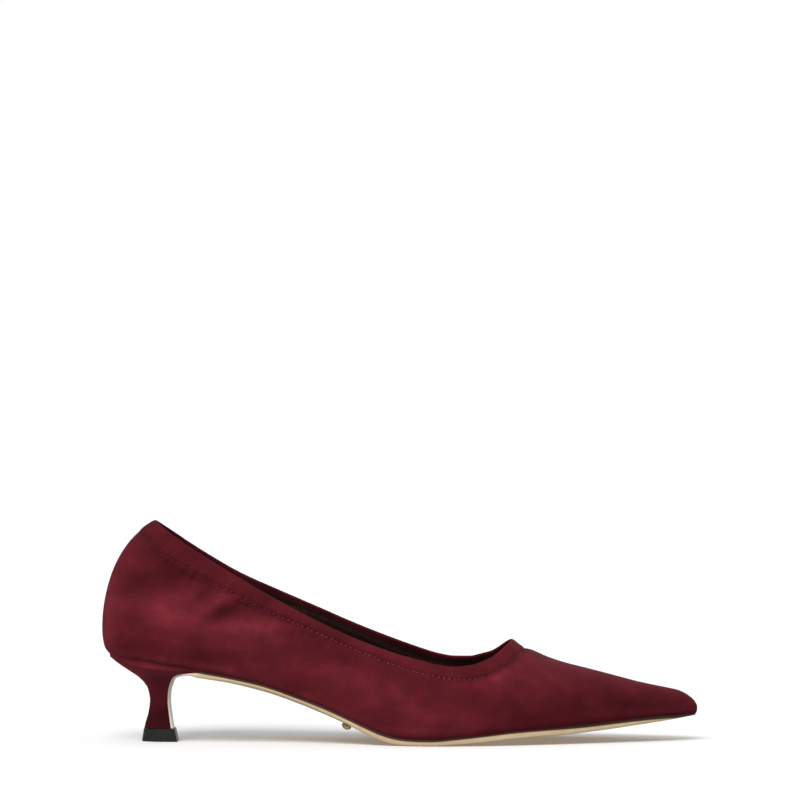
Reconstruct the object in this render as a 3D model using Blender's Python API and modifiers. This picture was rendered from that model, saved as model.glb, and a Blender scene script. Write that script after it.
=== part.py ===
"""A right-foot pump with a pointed toe and a kitten heel, in metres, +Z up.

The toe points along +X, the outer (lateral) side of the foot faces -Y, and the floor is Z = 0.
The upper is lofted through sections of its last. Insole, outsole and heel take their outlines
from the same sections, so every piece follows the driving dimensions below.
"""
from collections import namedtuple
from math import cos, pi, radians, sin

import bpy
import numpy as np
from mathutils import Vector

MM = 0.001

# Driving dimensions of the shoe
SHOE_LENGTH = 268.0 * MM
BALL_WIDTH = 74.2 * MM
HEEL_HEIGHT = 38.5 * MM
INSTEP_HEIGHT = 43.3 * MM
BACK_HEIGHT = 99.2 * MM

# Walls, layers and clearances
UPPER_WALL = 1.4 * MM
GAP = 0.3 * MM
INSOLE_THICKNESS = 2.0 * MM
INSOLE_EASE = 0.8 * MM
INSOLE_GAP = 0.5 * MM
TREAD_THICKNESS = 2.2 * MM
FLAP_THICKNESS = 1.3 * MM
FLAP_CROWN = 0.3 * MM
SOLE_INSET = 0.8 * MM
SOLE_UNDERCUT = 0.25 * MM
FLAP_INSET = 0.4 * MM
LASTING_MARGIN = 7.0 * MM

# Heel end of the last: its sections fan out from a vertical axis
HEEL_AXIS = -98.0 * MM
HEEL_RADIUS = 32.0 * MM
BACK_SWELL = 4.0 * MM
TUCK = 3.0 * MM
TUCK_SHARE = 0.45
UNDER_POWER = 2.5
TOE_UNDER_POWER = 2.0

# Toe end: width and height close together over a rounded nose
TOE_TIP = SHOE_LENGTH / 2
TOE_ROUND = 10.0 * MM
TOE_UNDER_ROUND = 3.2 * MM
BOTTOM_CLOSES = 112.0 * MM
SOLE_TIP = 130.8 * MM
SOLE_ROUND = 9.0 * MM
INSOLE_TIP = 117.0 * MM
INSOLE_ROUND = 22.0 * MM

# Throat: the elastic edge of the topline stands up at the front of the opening
THROAT = 50.3 * MM
BAND_WIDTH = 7.0 * MM
BAND_LIFT = 2.5 * MM
LIFT_RUN = 10.0 * MM

# Heel tip and the stud under the waist
TIP_TOP = 5.7 * MM
HEEL_FOOT = TIP_TOP + GAP
TIP_TOP_BACK, TIP_TOP_FRONT, TIP_TOP_HALF = -115.2 * MM, -101.1 * MM, 7.5 * MM
TIP_FOOT_BACK, TIP_FOOT_FRONT, TIP_FOOT_HALF = -116.1 * MM, -99.9 * MM, 8.3 * MM
TIP_POWER = 2.6
STUD_X = -23.5 * MM
STUD_FROM_EDGE = 5.0 * MM
STUD_RADIUS = 2.15 * MM
STUD_RIM = 0.5 * MM
STUD_DOME = 1.6 * MM

LATERAL, MEDIAL = -1, 1

# Last: along is a share of the length from the back. Half widths of the feather line and how far the
# wall swells past it are shares of the ball width. Girth (above the seat) and ridge are shares of the instep.
Last = namedtuple("Last", "along lateral medial swell_lateral swell_medial girth ridge")
LAST = [
    Last(0.134, 0.338, 0.338, 0.040, 0.040, 0.272, 2.370),
    Last(0.220, 0.323, 0.296, 0.036, 0.060, 0.277, 2.270),
    Last(0.313, 0.323, 0.253, 0.035, 0.081, 0.277, 1.990),
    Last(0.399, 0.364, 0.270, 0.035, 0.074, 0.266, 1.660),
    Last(0.500, 0.464, 0.385, 0.040, 0.045, 0.245, 1.370),
    Last(0.567, 0.501, 0.466, 0.040, 0.040, 0.235, 1.220),
    Last(0.634, 0.488, 0.499, 0.038, 0.038, 0.220, 1.100),
    Last(0.694, 0.445, 0.482, 0.034, 0.034, 0.208, 0.988),
    Last(0.769, 0.358, 0.420, 0.028, 0.028, 0.180, 0.836),
    Last(0.843, 0.256, 0.334, 0.024, 0.024, 0.145, 0.712),
    Last(0.910, 0.159, 0.243, 0.020, 0.020, 0.120, 0.605),
    Last(0.963, 0.075, 0.167, 0.018, 0.018, 0.092, 0.531),
    Last(1.000, 0.011, 0.111, 0.016, 0.016, 0.060, 0.478),
]

# Seat: height of the feather line as a share of the heel height, level over the tread
TREAD_SEAT = (TREAD_THICKNESS + GAP) / HEEL_HEIGHT
TREAD_START, TREAD_END = 0.507, 0.552
Seat = namedtuple("Seat", "along height")
SEAT = [
    Seat(0.019, 1.000),
    Seat(0.060, 0.980),
    Seat(0.104, 0.930),
    Seat(0.138, 0.881),
    Seat(0.168, 0.836),
    Seat(0.211, 0.779),
    Seat(0.271, 0.684),
    Seat(0.331, 0.538),
    Seat(0.371, 0.432),
    Seat(0.411, 0.309),
    Seat(0.470, 0.132),
    Seat(TREAD_START, TREAD_SEAT),
    Seat(TREAD_END, TREAD_SEAT),
    Seat(0.590, 0.087),
    Seat(0.629, 0.115),
    Seat(0.688, 0.159),
    Seat(0.765, 0.194),
    Seat(0.832, 0.234),
    Seat(0.899, 0.277),
    Seat(0.963, 0.308),
    Seat(1.000, 0.316),
]

# Topline seen from the side, as shares of the height at the back, lower on the outer side
Topline = namedtuple("Topline", "along lateral medial")
TOPLINE = [
    Topline(0.088, 1.004, 1.004),
    Topline(0.108, 0.964, 0.964),
    Topline(0.160, 0.868, 0.868),
    Topline(0.228, 0.755, 0.759),
    Topline(0.295, 0.650, 0.678),
    Topline(0.366, 0.551, 0.596),
    Topline(0.433, 0.470, 0.518),
    Topline(0.500, 0.403, 0.446),
    Topline(0.534, 0.377, 0.412),
    Topline(0.567, 0.356, 0.384),
    Topline(0.593, 0.351, 0.374),
    Topline(0.619, 0.357, 0.376),
    Topline(0.642, 0.378, 0.386),
    Topline(0.664, 0.407, 0.405),
]

# Outsole: edge thickness and how much deeper its middle is
Sole = namedtuple("Sole", "along thickness crown")
SOLE = [
    Sole(0.168, 1.3 * MM, 1.0 * MM),
    Sole(0.270, 1.3 * MM, 1.8 * MM),
    Sole(0.410, 1.6 * MM, 1.6 * MM),
    Sole(0.470, 2.0 * MM, 0.7 * MM),
    Sole(TREAD_START, TREAD_THICKNESS, 0.0),
    Sole(TREAD_END, TREAD_THICKNESS, 0.0),
    Sole(0.700, 2.2 * MM, 0.4 * MM),
    Sole(0.850, 1.9 * MM, 0.4 * MM),
    Sole(0.930, 1.5 * MM, 0.2 * MM),
    Sole(1.000, 0.9 * MM, 0.0),
]

# Heel: levels from the seat down to the tip, each with its back, its breast (front) and its half width
Level = namedtuple("Level", "back_x back_z front_x front_z half")
HEEL = [
    Level(-129.8 * MM, 38.2 * MM, -92.3 * MM, 32.5 * MM, 24.6 * MM),
    Level(-128.1 * MM, 36.0 * MM, -95.0 * MM, 31.6 * MM, 23.4 * MM),
    Level(-125.6 * MM, 34.2 * MM, -98.7 * MM, 31.0 * MM, 20.8 * MM),
    Level(-121.7 * MM, 31.6 * MM, -101.4 * MM, 29.4 * MM, 16.6 * MM),
    Level(-117.8 * MM, 29.0 * MM, -102.8 * MM, 27.2 * MM, 12.6 * MM),
    Level(-115.2 * MM, 26.4 * MM, -103.6 * MM, 25.0 * MM, 9.8 * MM),
    Level(-113.5 * MM, 23.7 * MM, -104.1 * MM, 22.9 * MM, 7.9 * MM),
    Level(-112.5 * MM, 18.3 * MM, -104.4 * MM, 18.3 * MM, 6.3 * MM),
    Level(-113.2 * MM, 12.9 * MM, -103.9 * MM, 12.9 * MM, 6.0 * MM),
    Level(-114.4 * MM, 8.6 * MM, -103.3 * MM, 8.6 * MM, 6.5 * MM),
    Level(-115.0 * MM, HEEL_FOOT, -102.9 * MM, HEEL_FOOT, 7.0 * MM),
]

# Plan of the heel: elliptical at the seat, squarer from this row of the table down
SEAT_POWER = 2.0
STEM_POWER = 2.5
STEM_ROW = 6

# Mesh density
FAN_STEPS = 9
WALL_STEPS = 7
UNDER_STEPS = 5
SECTION_SAMPLES = 60
EDGE_SAMPLES = 80
BISECTIONS = 40
WAIST_STEPS = 24
THROAT_RUN = 11.0 * MM
THROAT_STEPS = (8.0, 5.4, 3.4, 1.8, 0.7, 0.0)
BAND_STEPS = (1.6, 3.4, 5.3, 7.4)
VAMP_STEPS = 11
NOSE_STEPS = 6
ACROSS_STEPS = 6
SOLE_STEPS = 40
BEND_START = 0.455
BEND_STEPS = 8
INSOLE_ACROSS_STEPS = 4
RING_STEPS = 22
LEVELS_PER_ROW = 2
TIP_LEVELS = 3
STUD_STEPS = 18
STUD_ARC_STEPS = 5
SHARP_ANGLE = radians(40)

# Colours as seen, sRGB 0 to 255
SUEDE = (95, 31, 39)
LINING = (48, 24, 22)
SOLE_LEATHER = (205, 178, 146)
TIP_RUBBER = (43, 43, 40)
STUD_METAL = (150, 122, 90)


def curve_through(xs, ys):
    """A smooth curve through the points that never overshoots them (monotone cubic)."""
    xs = np.asarray(xs, float)
    ys = np.asarray(ys, float)
    run = np.diff(xs)
    slope = np.diff(ys) / run
    tangent = np.concatenate([slope[:1], np.zeros(len(xs) - 2), slope[-1:]])
    for i in range(1, len(xs) - 1):
        if slope[i - 1] * slope[i] > 0:
            weight_before = 2 * run[i] + run[i - 1]
            weight_after = run[i] + 2 * run[i - 1]
            harmonic = weight_before / slope[i - 1] + weight_after / slope[i]
            tangent[i] = (weight_before + weight_after) / harmonic

    def value(x):
        x = np.clip(x, xs[0], xs[-1])
        i = np.clip(np.searchsorted(xs, x, side="right") - 1, 0, len(run) - 1)
        t = (x - xs[i]) / run[i]
        eased = ys[i] + (ys[i + 1] - ys[i]) * t * t * (3 - 2 * t)
        bend = tangent[i] * (1 - t) - tangent[i + 1] * t
        return eased + run[i] * t * (1 - t) * bend

    return value


def x_at(along):
    """Place along the shoe of a share of its length."""
    return (along - 0.5) * SHOE_LENGTH


def column(table, name, scale=1.0):
    """A table's column as a smooth function of x."""
    xs = [x_at(row.along) for row in table]
    return curve_through(xs, [getattr(row, name) * scale for row in table])


half_lateral = column(LAST, "lateral", BALL_WIDTH)
half_medial = column(LAST, "medial", BALL_WIDTH)
swell_of = {
    LATERAL: column(LAST, "swell_lateral", BALL_WIDTH),
    MEDIAL: column(LAST, "swell_medial", BALL_WIDTH),
}
girth_rise = column(LAST, "girth", INSTEP_HEIGHT)
ridge_height = column(LAST, "ridge", INSTEP_HEIGHT)
seat_height = column(SEAT, "height", HEEL_HEIGHT)
sole_thickness = column(SOLE, "thickness")
sole_crown = column(SOLE, "crown")


def topline_curve(name):
    """Height of one side's topline against x, ending on the ridge at the throat."""
    xs = [x_at(row.along) for row in TOPLINE] + [THROAT]
    heights = [getattr(row, name) * BACK_HEIGHT for row in TOPLINE]
    return curve_through(xs, heights + [float(ridge_height(THROAT))])


topline_of = {LATERAL: topline_curve("lateral"), MEDIAL: topline_curve("medial")}


def round_end(x, tip, length):
    """Factor from 1 to 0 that closes an outline over a rounded end."""
    t = np.clip((x - (tip - length)) / length, 0.0, 1.0)
    return float(np.sqrt(1 - t * t))


def smooth_step(t):
    t = np.clip(t, 0.0, 1.0)
    return t * t * (3 - 2 * t)


# A section of the last in its own upright plane: out points from the axis to the foot
Station = namedtuple("Station", "x axis out length swell tuck power seat girth ridge")


def heel_station(side, turn):
    """A section of the heel's fan, turned from 0 at the back to 90 degrees at the side."""
    width = float(half_lateral(HEEL_AXIS))
    foot = np.array([-HEEL_RADIUS * cos(turn), side * width * sin(turn)])
    length = float(np.hypot(*foot))
    back = cos(turn) ** 2
    x = HEEL_AXIS + foot[0]
    seat = float(seat_height(x))
    return Station(
        x=x,
        axis=np.array([HEEL_AXIS, 0.0]),
        out=foot / length,
        length=length,
        swell=float(swell_of[side](HEEL_AXIS)) * (1 - back) + BACK_SWELL * back,
        tuck=TUCK,
        power=UNDER_POWER,
        seat=seat,
        girth=seat + float(girth_rise(HEEL_AXIS)),
        ridge=float(ridge_height(HEEL_AXIS)),
    )


def cross_station(side, x):
    """A section square to the shoe, from the heel's axis to the tip of the toe."""
    lateral = float(half_lateral(x))
    medial = float(half_medial(x))
    close = round_end(x, TOE_TIP, TOE_ROUND)
    half = (lateral + medial) / 2 * close
    nose = float(seat_height(TOE_TIP) + girth_rise(TOE_TIP))
    seat = float(seat_height(x))
    girth = seat + float(girth_rise(x))
    close_under = round_end(x, TOE_TIP, TOE_UNDER_ROUND)
    return Station(
        x=x,
        axis=np.array([x, (medial - lateral) / 2]),
        out=np.array([0.0, float(side)]),
        length=half,
        swell=float(swell_of[side](x)) * close,
        tuck=min(TUCK, TUCK_SHARE * half),
        power=UNDER_POWER + (TOE_UNDER_POWER - UNDER_POWER) * smooth_step(x / TOE_TIP),
        seat=nose + (seat - nose) * close_under,
        girth=nose + (girth - nose) * close,
        ridge=nose + (float(ridge_height(x)) - nose) * close,
    )


def wall_point(station, rise):
    """Reach and height on the wall, from the girth (0) to the ridge (90 degrees)."""
    reach = (station.length + station.swell) * np.cos(rise)
    return reach, station.girth + (station.ridge - station.girth) * np.sin(rise)


def under_point(station, dip):
    """Reach and height below the girth, down to the lasting margin (90 degrees)."""
    inner = station.length - station.tuck
    reach = inner + (station.swell + station.tuck) * np.cos(dip) ** (2 / station.power)
    return reach, station.girth - (station.girth - station.seat) * np.sin(dip) ** (2 / station.power)


def in_space(station, reach, height):
    """The point of a section at a reach from its axis."""
    plan = station.axis + station.out * reach
    return np.array([plan[0], plan[1], height])


def collar_rise(side, station):
    """Rise at which a section meets the topline, or the ridge in front of the throat."""
    if station.x >= THROAT:
        return pi / 2
    low, high = 0.0, pi / 2
    for _ in range(BISECTIONS):
        middle = (low + high) / 2
        x, _, height = in_space(station, *wall_point(station, middle))
        if height < topline_of[side](x):
            low = middle
        else:
            high = middle
    return low


def evenly(points, steps):
    """Points at equal distances along a polyline."""
    points = np.asarray(points)
    length = np.concatenate([[0.0], np.cumsum(np.linalg.norm(np.diff(points, axis=0), axis=1))])
    if length[-1] == 0.0:
        return np.repeat(points[:1], steps + 1, axis=0)
    wanted = np.linspace(0.0, length[-1], steps + 1)
    return np.stack([np.interp(wanted, length, part) for part in points.T], axis=1)


def section(side, station):
    """Outer section from the lasting margin round the feather edge to the collar or ridge."""
    dips = np.linspace(pi / 2, 0.0, SECTION_SAMPLES)
    under = evenly(np.stack(under_point(station, dips), axis=1), UNDER_STEPS)
    rises = np.linspace(0.0, collar_rise(side, station), SECTION_SAMPLES)
    wall = evenly(np.stack(wall_point(station, rises), axis=1), WALL_STEPS)
    inner = station.length - station.tuck
    margin = 0.0 if station.x > BOTTOM_CLOSES else max(inner - LASTING_MARGIN, 0.0)
    profile = [(margin, station.seat)] + list(under) + list(wall[1:])
    points = [in_space(station, *place) for place in profile]
    if station.x < HEEL_AXIS:
        points[0][2] = seat_height(points[0][0])
    return points


def station_places():
    """Places along the shoe where square sections stand, denser at the throat and the nose."""
    waist = np.linspace(HEEL_AXIS, THROAT - THROAT_RUN, WAIST_STEPS + 1)[1:]
    throat = THROAT - np.array(THROAT_STEPS) * MM
    band = THROAT + np.array(BAND_STEPS) * MM
    vamp = np.linspace(band[-1], TOE_TIP - TOE_ROUND, VAMP_STEPS + 1)[1:]
    turns = np.linspace(0.0, pi / 2, NOSE_STEPS + 1)[1:]
    nose = TOE_TIP - TOE_ROUND + TOE_ROUND * np.sin(turns)
    return np.concatenate([waist, throat, band, vamp, nose])


def stations(side):
    fan = [heel_station(side, turn) for turn in np.linspace(0.0, pi / 2, FAN_STEPS + 1)]
    return fan + [cross_station(side, x) for x in station_places()]


def throat_edge():
    """Points along the topline round the throat, before its edge is lifted."""
    edge = []
    for side in (LATERAL, MEDIAL):
        for x in np.linspace(THROAT - LIFT_RUN - BAND_WIDTH, THROAT, EDGE_SAMPLES):
            station = cross_station(side, x)
            edge.append(in_space(station, *wall_point(station, collar_rise(side, station))))
    return np.array(edge)


def lifted(point, edge):
    """A point of the upper with the throat's standing edge worked in."""
    near = smooth_step((point[0] - THROAT + LIFT_RUN) / LIFT_RUN)
    away = np.linalg.norm(edge - point, axis=1).min() / BAND_WIDTH
    if near == 0.0 or away >= 1.0:
        return point
    return point + np.array([0.0, 0.0, BAND_LIFT * near * (1 - away) ** 2])


class Skin:
    """A mesh under construction, in which points at the same place are shared."""

    def __init__(self):
        self.points = []
        self.faces = []
        self.known = {}

    def point(self, place):
        key = tuple(round(float(value), 8) for value in place)
        if key not in self.known:
            self.known[key] = len(self.points)
            self.points.append(key)
        return self.known[key]

    def face(self, places):
        corners = [self.point(place) for place in places]
        ring = [c for i, c in enumerate(corners) if c != corners[i - 1]]
        if len(ring) > 2:
            self.faces.append(ring)

    def grid(self, rows, flip=False):
        """Quads between neighbouring rows of points."""
        for row, following in zip(rows, rows[1:]):
            for k in range(len(row) - 1):
                quad = [row[k], following[k], following[k + 1], row[k + 1]]
                self.face(quad[::-1] if flip else quad)

    def mesh_object(self, name, material, collection):
        mesh = bpy.data.meshes.new(name)
        mesh.from_pydata(self.points, [], self.faces)
        mesh.update()
        return place_object(name, mesh, material, collection)


def place_object(name, mesh, material, collection):
    mesh.materials.append(material)
    mesh.shade_smooth()
    mesh.set_sharp_from_angle(angle=SHARP_ANGLE)
    thing = bpy.data.objects.new(name, mesh)
    collection.objects.link(thing)
    return thing


def slab(upper_rows, lower_rows):
    """A closed plate between an upper and a lower grid of points with matching rows."""
    skin = Skin()
    skin.grid(upper_rows)
    skin.grid(lower_rows, flip=True)
    for k, flip in ((0, True), (-1, False)):
        edge = [[above[k], below[k]] for above, below in zip(upper_rows, lower_rows)]
        skin.grid(edge, flip)
    for end, flip in ((0, False), (-1, True)):
        cap = [[above, below] for above, below in zip(upper_rows[end], lower_rows[end])]
        skin.grid(cap, flip)
    return skin


def srgb(colour):
    """Linear colour from sRGB values of 0 to 255."""
    shares = [value / 255 for value in colour]
    linear = [c / 12.92 if c <= 0.04045 else ((c + 0.055) / 1.055) ** 2.4 for c in shares]
    return (*linear, 1.0)


def make_material(name, colour, roughness, metallic=0.0):
    material = bpy.data.materials.new(name)
    material.use_nodes = True
    shader = material.node_tree.nodes["Principled BSDF"]
    shader.inputs["Base Color"].default_value = srgb(colour)
    shader.inputs["Roughness"].default_value = roughness
    shader.inputs["Metallic"].default_value = metallic
    material.diffuse_color = srgb(colour)
    return material


def make_upper(collection):
    """The suede upper: one wall, open at the collar and underneath."""
    skin = Skin()
    edge = throat_edge()
    for side in (LATERAL, MEDIAL):
        rows = [section(side, station) for station in stations(side)]
        rows = [[lifted(point, edge) for point in row] for row in rows]
        skin.grid(rows, flip=side == MEDIAL)
    upper = skin.mesh_object("upper", make_material("suede", SUEDE, 0.9), collection)
    wall = upper.modifiers.new("wall", "SOLIDIFY")
    wall.thickness = UPPER_WALL
    wall.offset = -1.0
    wall.use_even_offset = False
    wall.use_quality_normals = True
    return upper


def inner_reach(station, height):
    """Reach of the upper's inner face at a height near the seat, less a clearance."""
    dips = np.linspace(pi / 2, 0.0, SECTION_SAMPLES)
    outer = np.stack(under_point(station, dips), axis=1)
    along = np.gradient(outer, axis=0)
    along /= np.maximum(np.linalg.norm(along, axis=1, keepdims=True), 1e-12)
    inward = np.stack([-along[:, 1], along[:, 0]], axis=1)
    face = outer + inward * (UPPER_WALL + GAP)
    return float(np.interp(height, face[:, 1], face[:, 0]))


def make_insole(collection):
    """The insole, skived at its edge to lie in the upper on the lasting margin."""
    above, below = [], []
    for lateral, medial in zip(stations(LATERAL), stations(MEDIAL)):
        if lateral.x > INSOLE_TIP:
            break
        close = round_end(lateral.x, INSOLE_TIP, INSOLE_ROUND)
        bottom = UPPER_WALL + INSOLE_GAP
        for rows, rise in ((below, bottom), (above, bottom + INSOLE_THICKNESS)):
            ends = []
            for station in (lateral, medial):
                reach = inner_reach(station, station.seat + rise) - INSOLE_EASE
                end = in_space(station, reach * close, 0.0)
                end[2] = seat_height(end[0]) + rise
                ends.append(end)
            rows.append(list(np.linspace(ends[0], ends[1], INSOLE_ACROSS_STEPS + 1)))
    skin = slab(above, below)
    return skin.mesh_object("insole", make_material("lining", LINING, 0.8), collection)


def heel_level(position):
    """A level of the heel at a fractional place in its table."""
    places = range(len(HEEL))
    return Level(*[float(curve_through(places, values)(position)) for values in zip(*HEEL)])


SolePlace = namedtuple("SolePlace", "top down lateral medial thickness crown")


def breast_places():
    """The outsole's flap, from the tip up the front of the heel to the waist."""
    positions = np.linspace(len(HEEL) - 1, 1, (len(HEEL) - 2) * LEVELS_PER_ROW + 1)
    levels = [heel_level(position) for position in positions]
    line = np.array([(level.front_x, level.front_z) for level in levels])
    along = np.gradient(line, axis=0)
    along /= np.linalg.norm(along, axis=1, keepdims=True)
    front = np.stack([along[:, 1], -along[:, 0]], axis=1)
    front[0] = (1.0, 0.0)
    for level, spot, normal in zip(levels, line, front):
        half = level.half - FLAP_INSET
        yield SolePlace(spot + normal * GAP, normal, -half, half, FLAP_THICKNESS, FLAP_CROWN)


def sole_places():
    """The outsole's waist and forepart, from the heel to the toe."""
    start = x_at(SOLE[0].along)
    spread = np.linspace(start, SOLE_TIP - SOLE_ROUND, SOLE_STEPS - NOSE_STEPS + 1)
    turns = np.linspace(0.0, pi / 2, NOSE_STEPS + 1)[1:]
    bend = np.linspace(x_at(BEND_START), x_at(TREAD_START), BEND_STEPS + 1)
    nose = SOLE_TIP - SOLE_ROUND + SOLE_ROUND * np.sin(turns)
    outside_bend = spread[(spread < bend[0]) | (spread > x_at(TREAD_END))]
    for x in np.sort(np.concatenate([outside_bend, bend, [x_at(TREAD_END)], nose])):
        lateral = float(half_lateral(x)) - SOLE_INSET
        medial = float(half_medial(x)) - SOLE_INSET
        close = round_end(x, SOLE_TIP, SOLE_ROUND)
        centre = (medial - lateral) / 2
        half = (medial + lateral) / 2 * close
        yield SolePlace(
            np.array([x, float(seat_height(x)) - GAP]),
            np.array([0.0, -1.0]),
            centre - half,
            centre + half,
            float(sole_thickness(x)),
            float(sole_crown(x)) * close,
        )


def make_outsole(collection):
    """The leather outsole, one strip from the toe along the arch and down the heel's breast."""
    above, below = [], []
    shares = np.linspace(-1.0, 1.0, ACROSS_STEPS + 1)
    for place in list(breast_places()) + list(sole_places()):
        middle = (place.lateral + place.medial) / 2
        half = (place.medial - place.lateral) / 2
        under_half = max(half - SOLE_UNDERCUT, 0.0)
        upper_row, lower_row = [], []
        for share in shares:
            depth = place.thickness + place.crown * (1 - share * share)
            foot = place.top + place.down * depth
            upper_row.append((place.top[0], middle + half * share, place.top[1]))
            lower_row.append((foot[0], middle + under_half * share, foot[1]))
        above.append(upper_row)
        below.append(lower_row)
    skin = slab(above, below)
    return skin.mesh_object("outsole", make_material("sole_leather", SOLE_LEATHER, 0.55), collection)


def half_ring(back_x, front_x, half, power):
    """Plan of a heel level: a rounded back between two square front corners."""
    turns = np.linspace(0.0, pi, RING_STEPS + 1)
    along = np.abs(np.sin(turns)) ** (2 / power)
    across = np.sign(np.cos(turns)) * np.abs(np.cos(turns)) ** (2 / power)
    return np.stack([front_x + (back_x - front_x) * along, -half * across], axis=1)


def loft(rings):
    """A closed body through rings whose first and last points are the front corners."""
    skin = Skin()
    skin.grid([[*ring, ring[0]] for ring in rings], flip=True)
    pairs = RING_STEPS // 2 + 1
    for ring, flip in ((rings[0], True), (rings[-1], False)):
        skin.grid([[ring[k], ring[-1 - k]] for k in range(pairs)], flip)
    return skin


def make_heel(collection):
    """The covered heel, from the seat's outline through a slim stem to the tip."""
    rings = []
    for position in np.linspace(0, len(HEEL) - 1, (len(HEEL) - 1) * LEVELS_PER_ROW + 1):
        level = heel_level(position)
        power = SEAT_POWER + (STEM_POWER - SEAT_POWER) * smooth_step(position / STEM_ROW)
        ring = []
        for x, y in half_ring(level.back_x, level.front_x, level.half, power):
            share = (x - level.front_x) / (level.back_x - level.front_x)
            height = level.front_z + (level.back_z - level.front_z) * share
            if position == 0:
                height = float(seat_height(x)) - GAP
            ring.append((x, y, height))
        rings.append(ring)
    return loft(rings).mesh_object("heel", make_material("heel_suede", SUEDE, 0.9), collection)


def make_heel_tip(collection):
    """The rubber top piece, flared towards the floor."""
    rings = []
    for share in np.linspace(0.0, 1.0, TIP_LEVELS):
        back = TIP_TOP_BACK + (TIP_FOOT_BACK - TIP_TOP_BACK) * share
        front = TIP_TOP_FRONT + (TIP_FOOT_FRONT - TIP_TOP_FRONT) * share
        half = TIP_TOP_HALF + (TIP_FOOT_HALF - TIP_TOP_HALF) * share
        height = TIP_TOP * (1 - share)
        rings.append([(x, y, height) for x, y in half_ring(back, front, half, TIP_POWER)])
    return loft(rings).mesh_object("heel_tip", make_material("tip_rubber", TIP_RUBBER, 0.5), collection)


def make_stud(collection):
    """A plain domed stud, turned about its own axis and set square on the slope of the waist."""
    turns = np.linspace(0.0, pi / 2, STUD_ARC_STEPS + 1)
    dome = [(STUD_RADIUS * cos(t), 0.0, -STUD_RIM - STUD_DOME * sin(t)) for t in turns[:-1]]
    profile = [(0.0, 0.0, 0.0), (STUD_RADIUS, 0.0, 0.0), *dome, (0.0, 0.0, -STUD_RIM - STUD_DOME)]
    mesh = bpy.data.meshes.new("sole_stud")
    mesh.from_pydata(profile, [(k, k + 1) for k in range(len(profile) - 1)], [])
    stud = place_object("sole_stud", mesh, make_material("stud_metal", STUD_METAL, 0.35, 1.0), collection)
    turned = stud.modifiers.new("turned", "SCREW")
    turned.axis = "Z"
    turned.steps = STUD_STEPS
    turned.render_steps = STUD_STEPS
    turned.use_merge_vertices = True
    turned.merge_threshold = 0.00001
    half = float(half_lateral(STUD_X)) - SOLE_INSET
    centre = (float(half_medial(STUD_X)) - SOLE_INSET - half) / 2
    whole = (float(half_medial(STUD_X)) - SOLE_INSET + half) / 2
    across = STUD_FROM_EDGE - half
    share = (across - centre) / whole

    def underside(x):
        crown = float(sole_crown(x)) * (1 - share * share)
        return float(seat_height(x)) - GAP - float(sole_thickness(x)) - crown

    reach = STUD_RADIUS
    slope = (underside(STUD_X + reach) - underside(STUD_X - reach)) / (2 * reach)
    normal = Vector((-slope, 0.0, 1.0)).normalized()
    spot = Vector((STUD_X, across, underside(STUD_X)))
    stud.location = spot - normal * GAP
    stud.rotation_euler = normal.to_track_quat("Z", "Y").to_euler()
    return stud


def main():
    for thing in list(bpy.data.objects):
        bpy.data.objects.remove(thing, do_unlink=True)
    collection = bpy.data.collections.new("kitten_heel_pump")
    bpy.context.scene.collection.children.link(collection)
    origin = bpy.data.objects.new("pump_origin", None)
    collection.objects.link(origin)
    for make in (make_upper, make_insole, make_outsole, make_heel, make_heel_tip, make_stud):
        make(collection).parent = origin


main()
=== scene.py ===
from collections import namedtuple
from math import cos, pi, radians, sin, sqrt

import bmesh
import bpy
import numpy as np
from mathutils import Matrix, Vector, noise
from mathutils.bvhtree import BVHTree
from mathutils.kdtree import KDTree


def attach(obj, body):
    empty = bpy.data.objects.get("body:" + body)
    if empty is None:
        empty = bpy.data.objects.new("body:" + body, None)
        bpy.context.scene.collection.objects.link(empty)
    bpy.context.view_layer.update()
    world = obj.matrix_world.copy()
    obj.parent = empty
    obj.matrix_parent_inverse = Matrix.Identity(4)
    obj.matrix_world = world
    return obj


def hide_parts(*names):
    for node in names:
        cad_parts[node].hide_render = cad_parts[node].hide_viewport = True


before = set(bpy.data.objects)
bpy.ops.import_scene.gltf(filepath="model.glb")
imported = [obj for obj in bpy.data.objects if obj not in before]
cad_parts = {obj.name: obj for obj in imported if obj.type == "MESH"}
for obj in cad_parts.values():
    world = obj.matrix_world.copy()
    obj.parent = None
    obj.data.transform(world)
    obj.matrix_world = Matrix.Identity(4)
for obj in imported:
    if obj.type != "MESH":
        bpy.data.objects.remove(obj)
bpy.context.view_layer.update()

MM = 0.001
LATERAL, MEDIAL = -1, 1
TINY = 1e-9

# Driving dimensions of the shoe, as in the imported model
SHOE_LENGTH = 268.0 * MM
BALL_WIDTH = 74.2 * MM
HEEL_HEIGHT = 38.5 * MM
INSTEP_HEIGHT = 43.3 * MM
BACK_HEIGHT = 99.2 * MM

# Walls, layers and clearances
UPPER_WALL = 1.4 * MM
INNER_FOLD = 2.2 * MM
GAP = 0.3 * MM
LASTING_MARGIN = 7.0 * MM
INSOLE_THICKNESS = 2.0 * MM
INSOLE_EASE = 0.8 * MM
INSOLE_GAP = 0.5 * MM
INSOLE_CROWN = 0.7 * MM
INSOLE_CROWN_POWER = 4
INSOLE_SHOULDER = 0.6
INSOLE_BEVEL = 0.6 * MM

# Outsole, and its flap on the front of the heel
TREAD_THICKNESS = 2.2 * MM
FLAP_THICKNESS = 1.1 * MM
FLAP_CROWN = 0.2 * MM
FLAP_INSET = 0.15 * MM
FLAP_FIT = 0.05 * MM
SOLE_INSET = 0.35 * MM
SOLE_LAP = 0.5 * MM
LAP_RUN = 25.0 * MM

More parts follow.
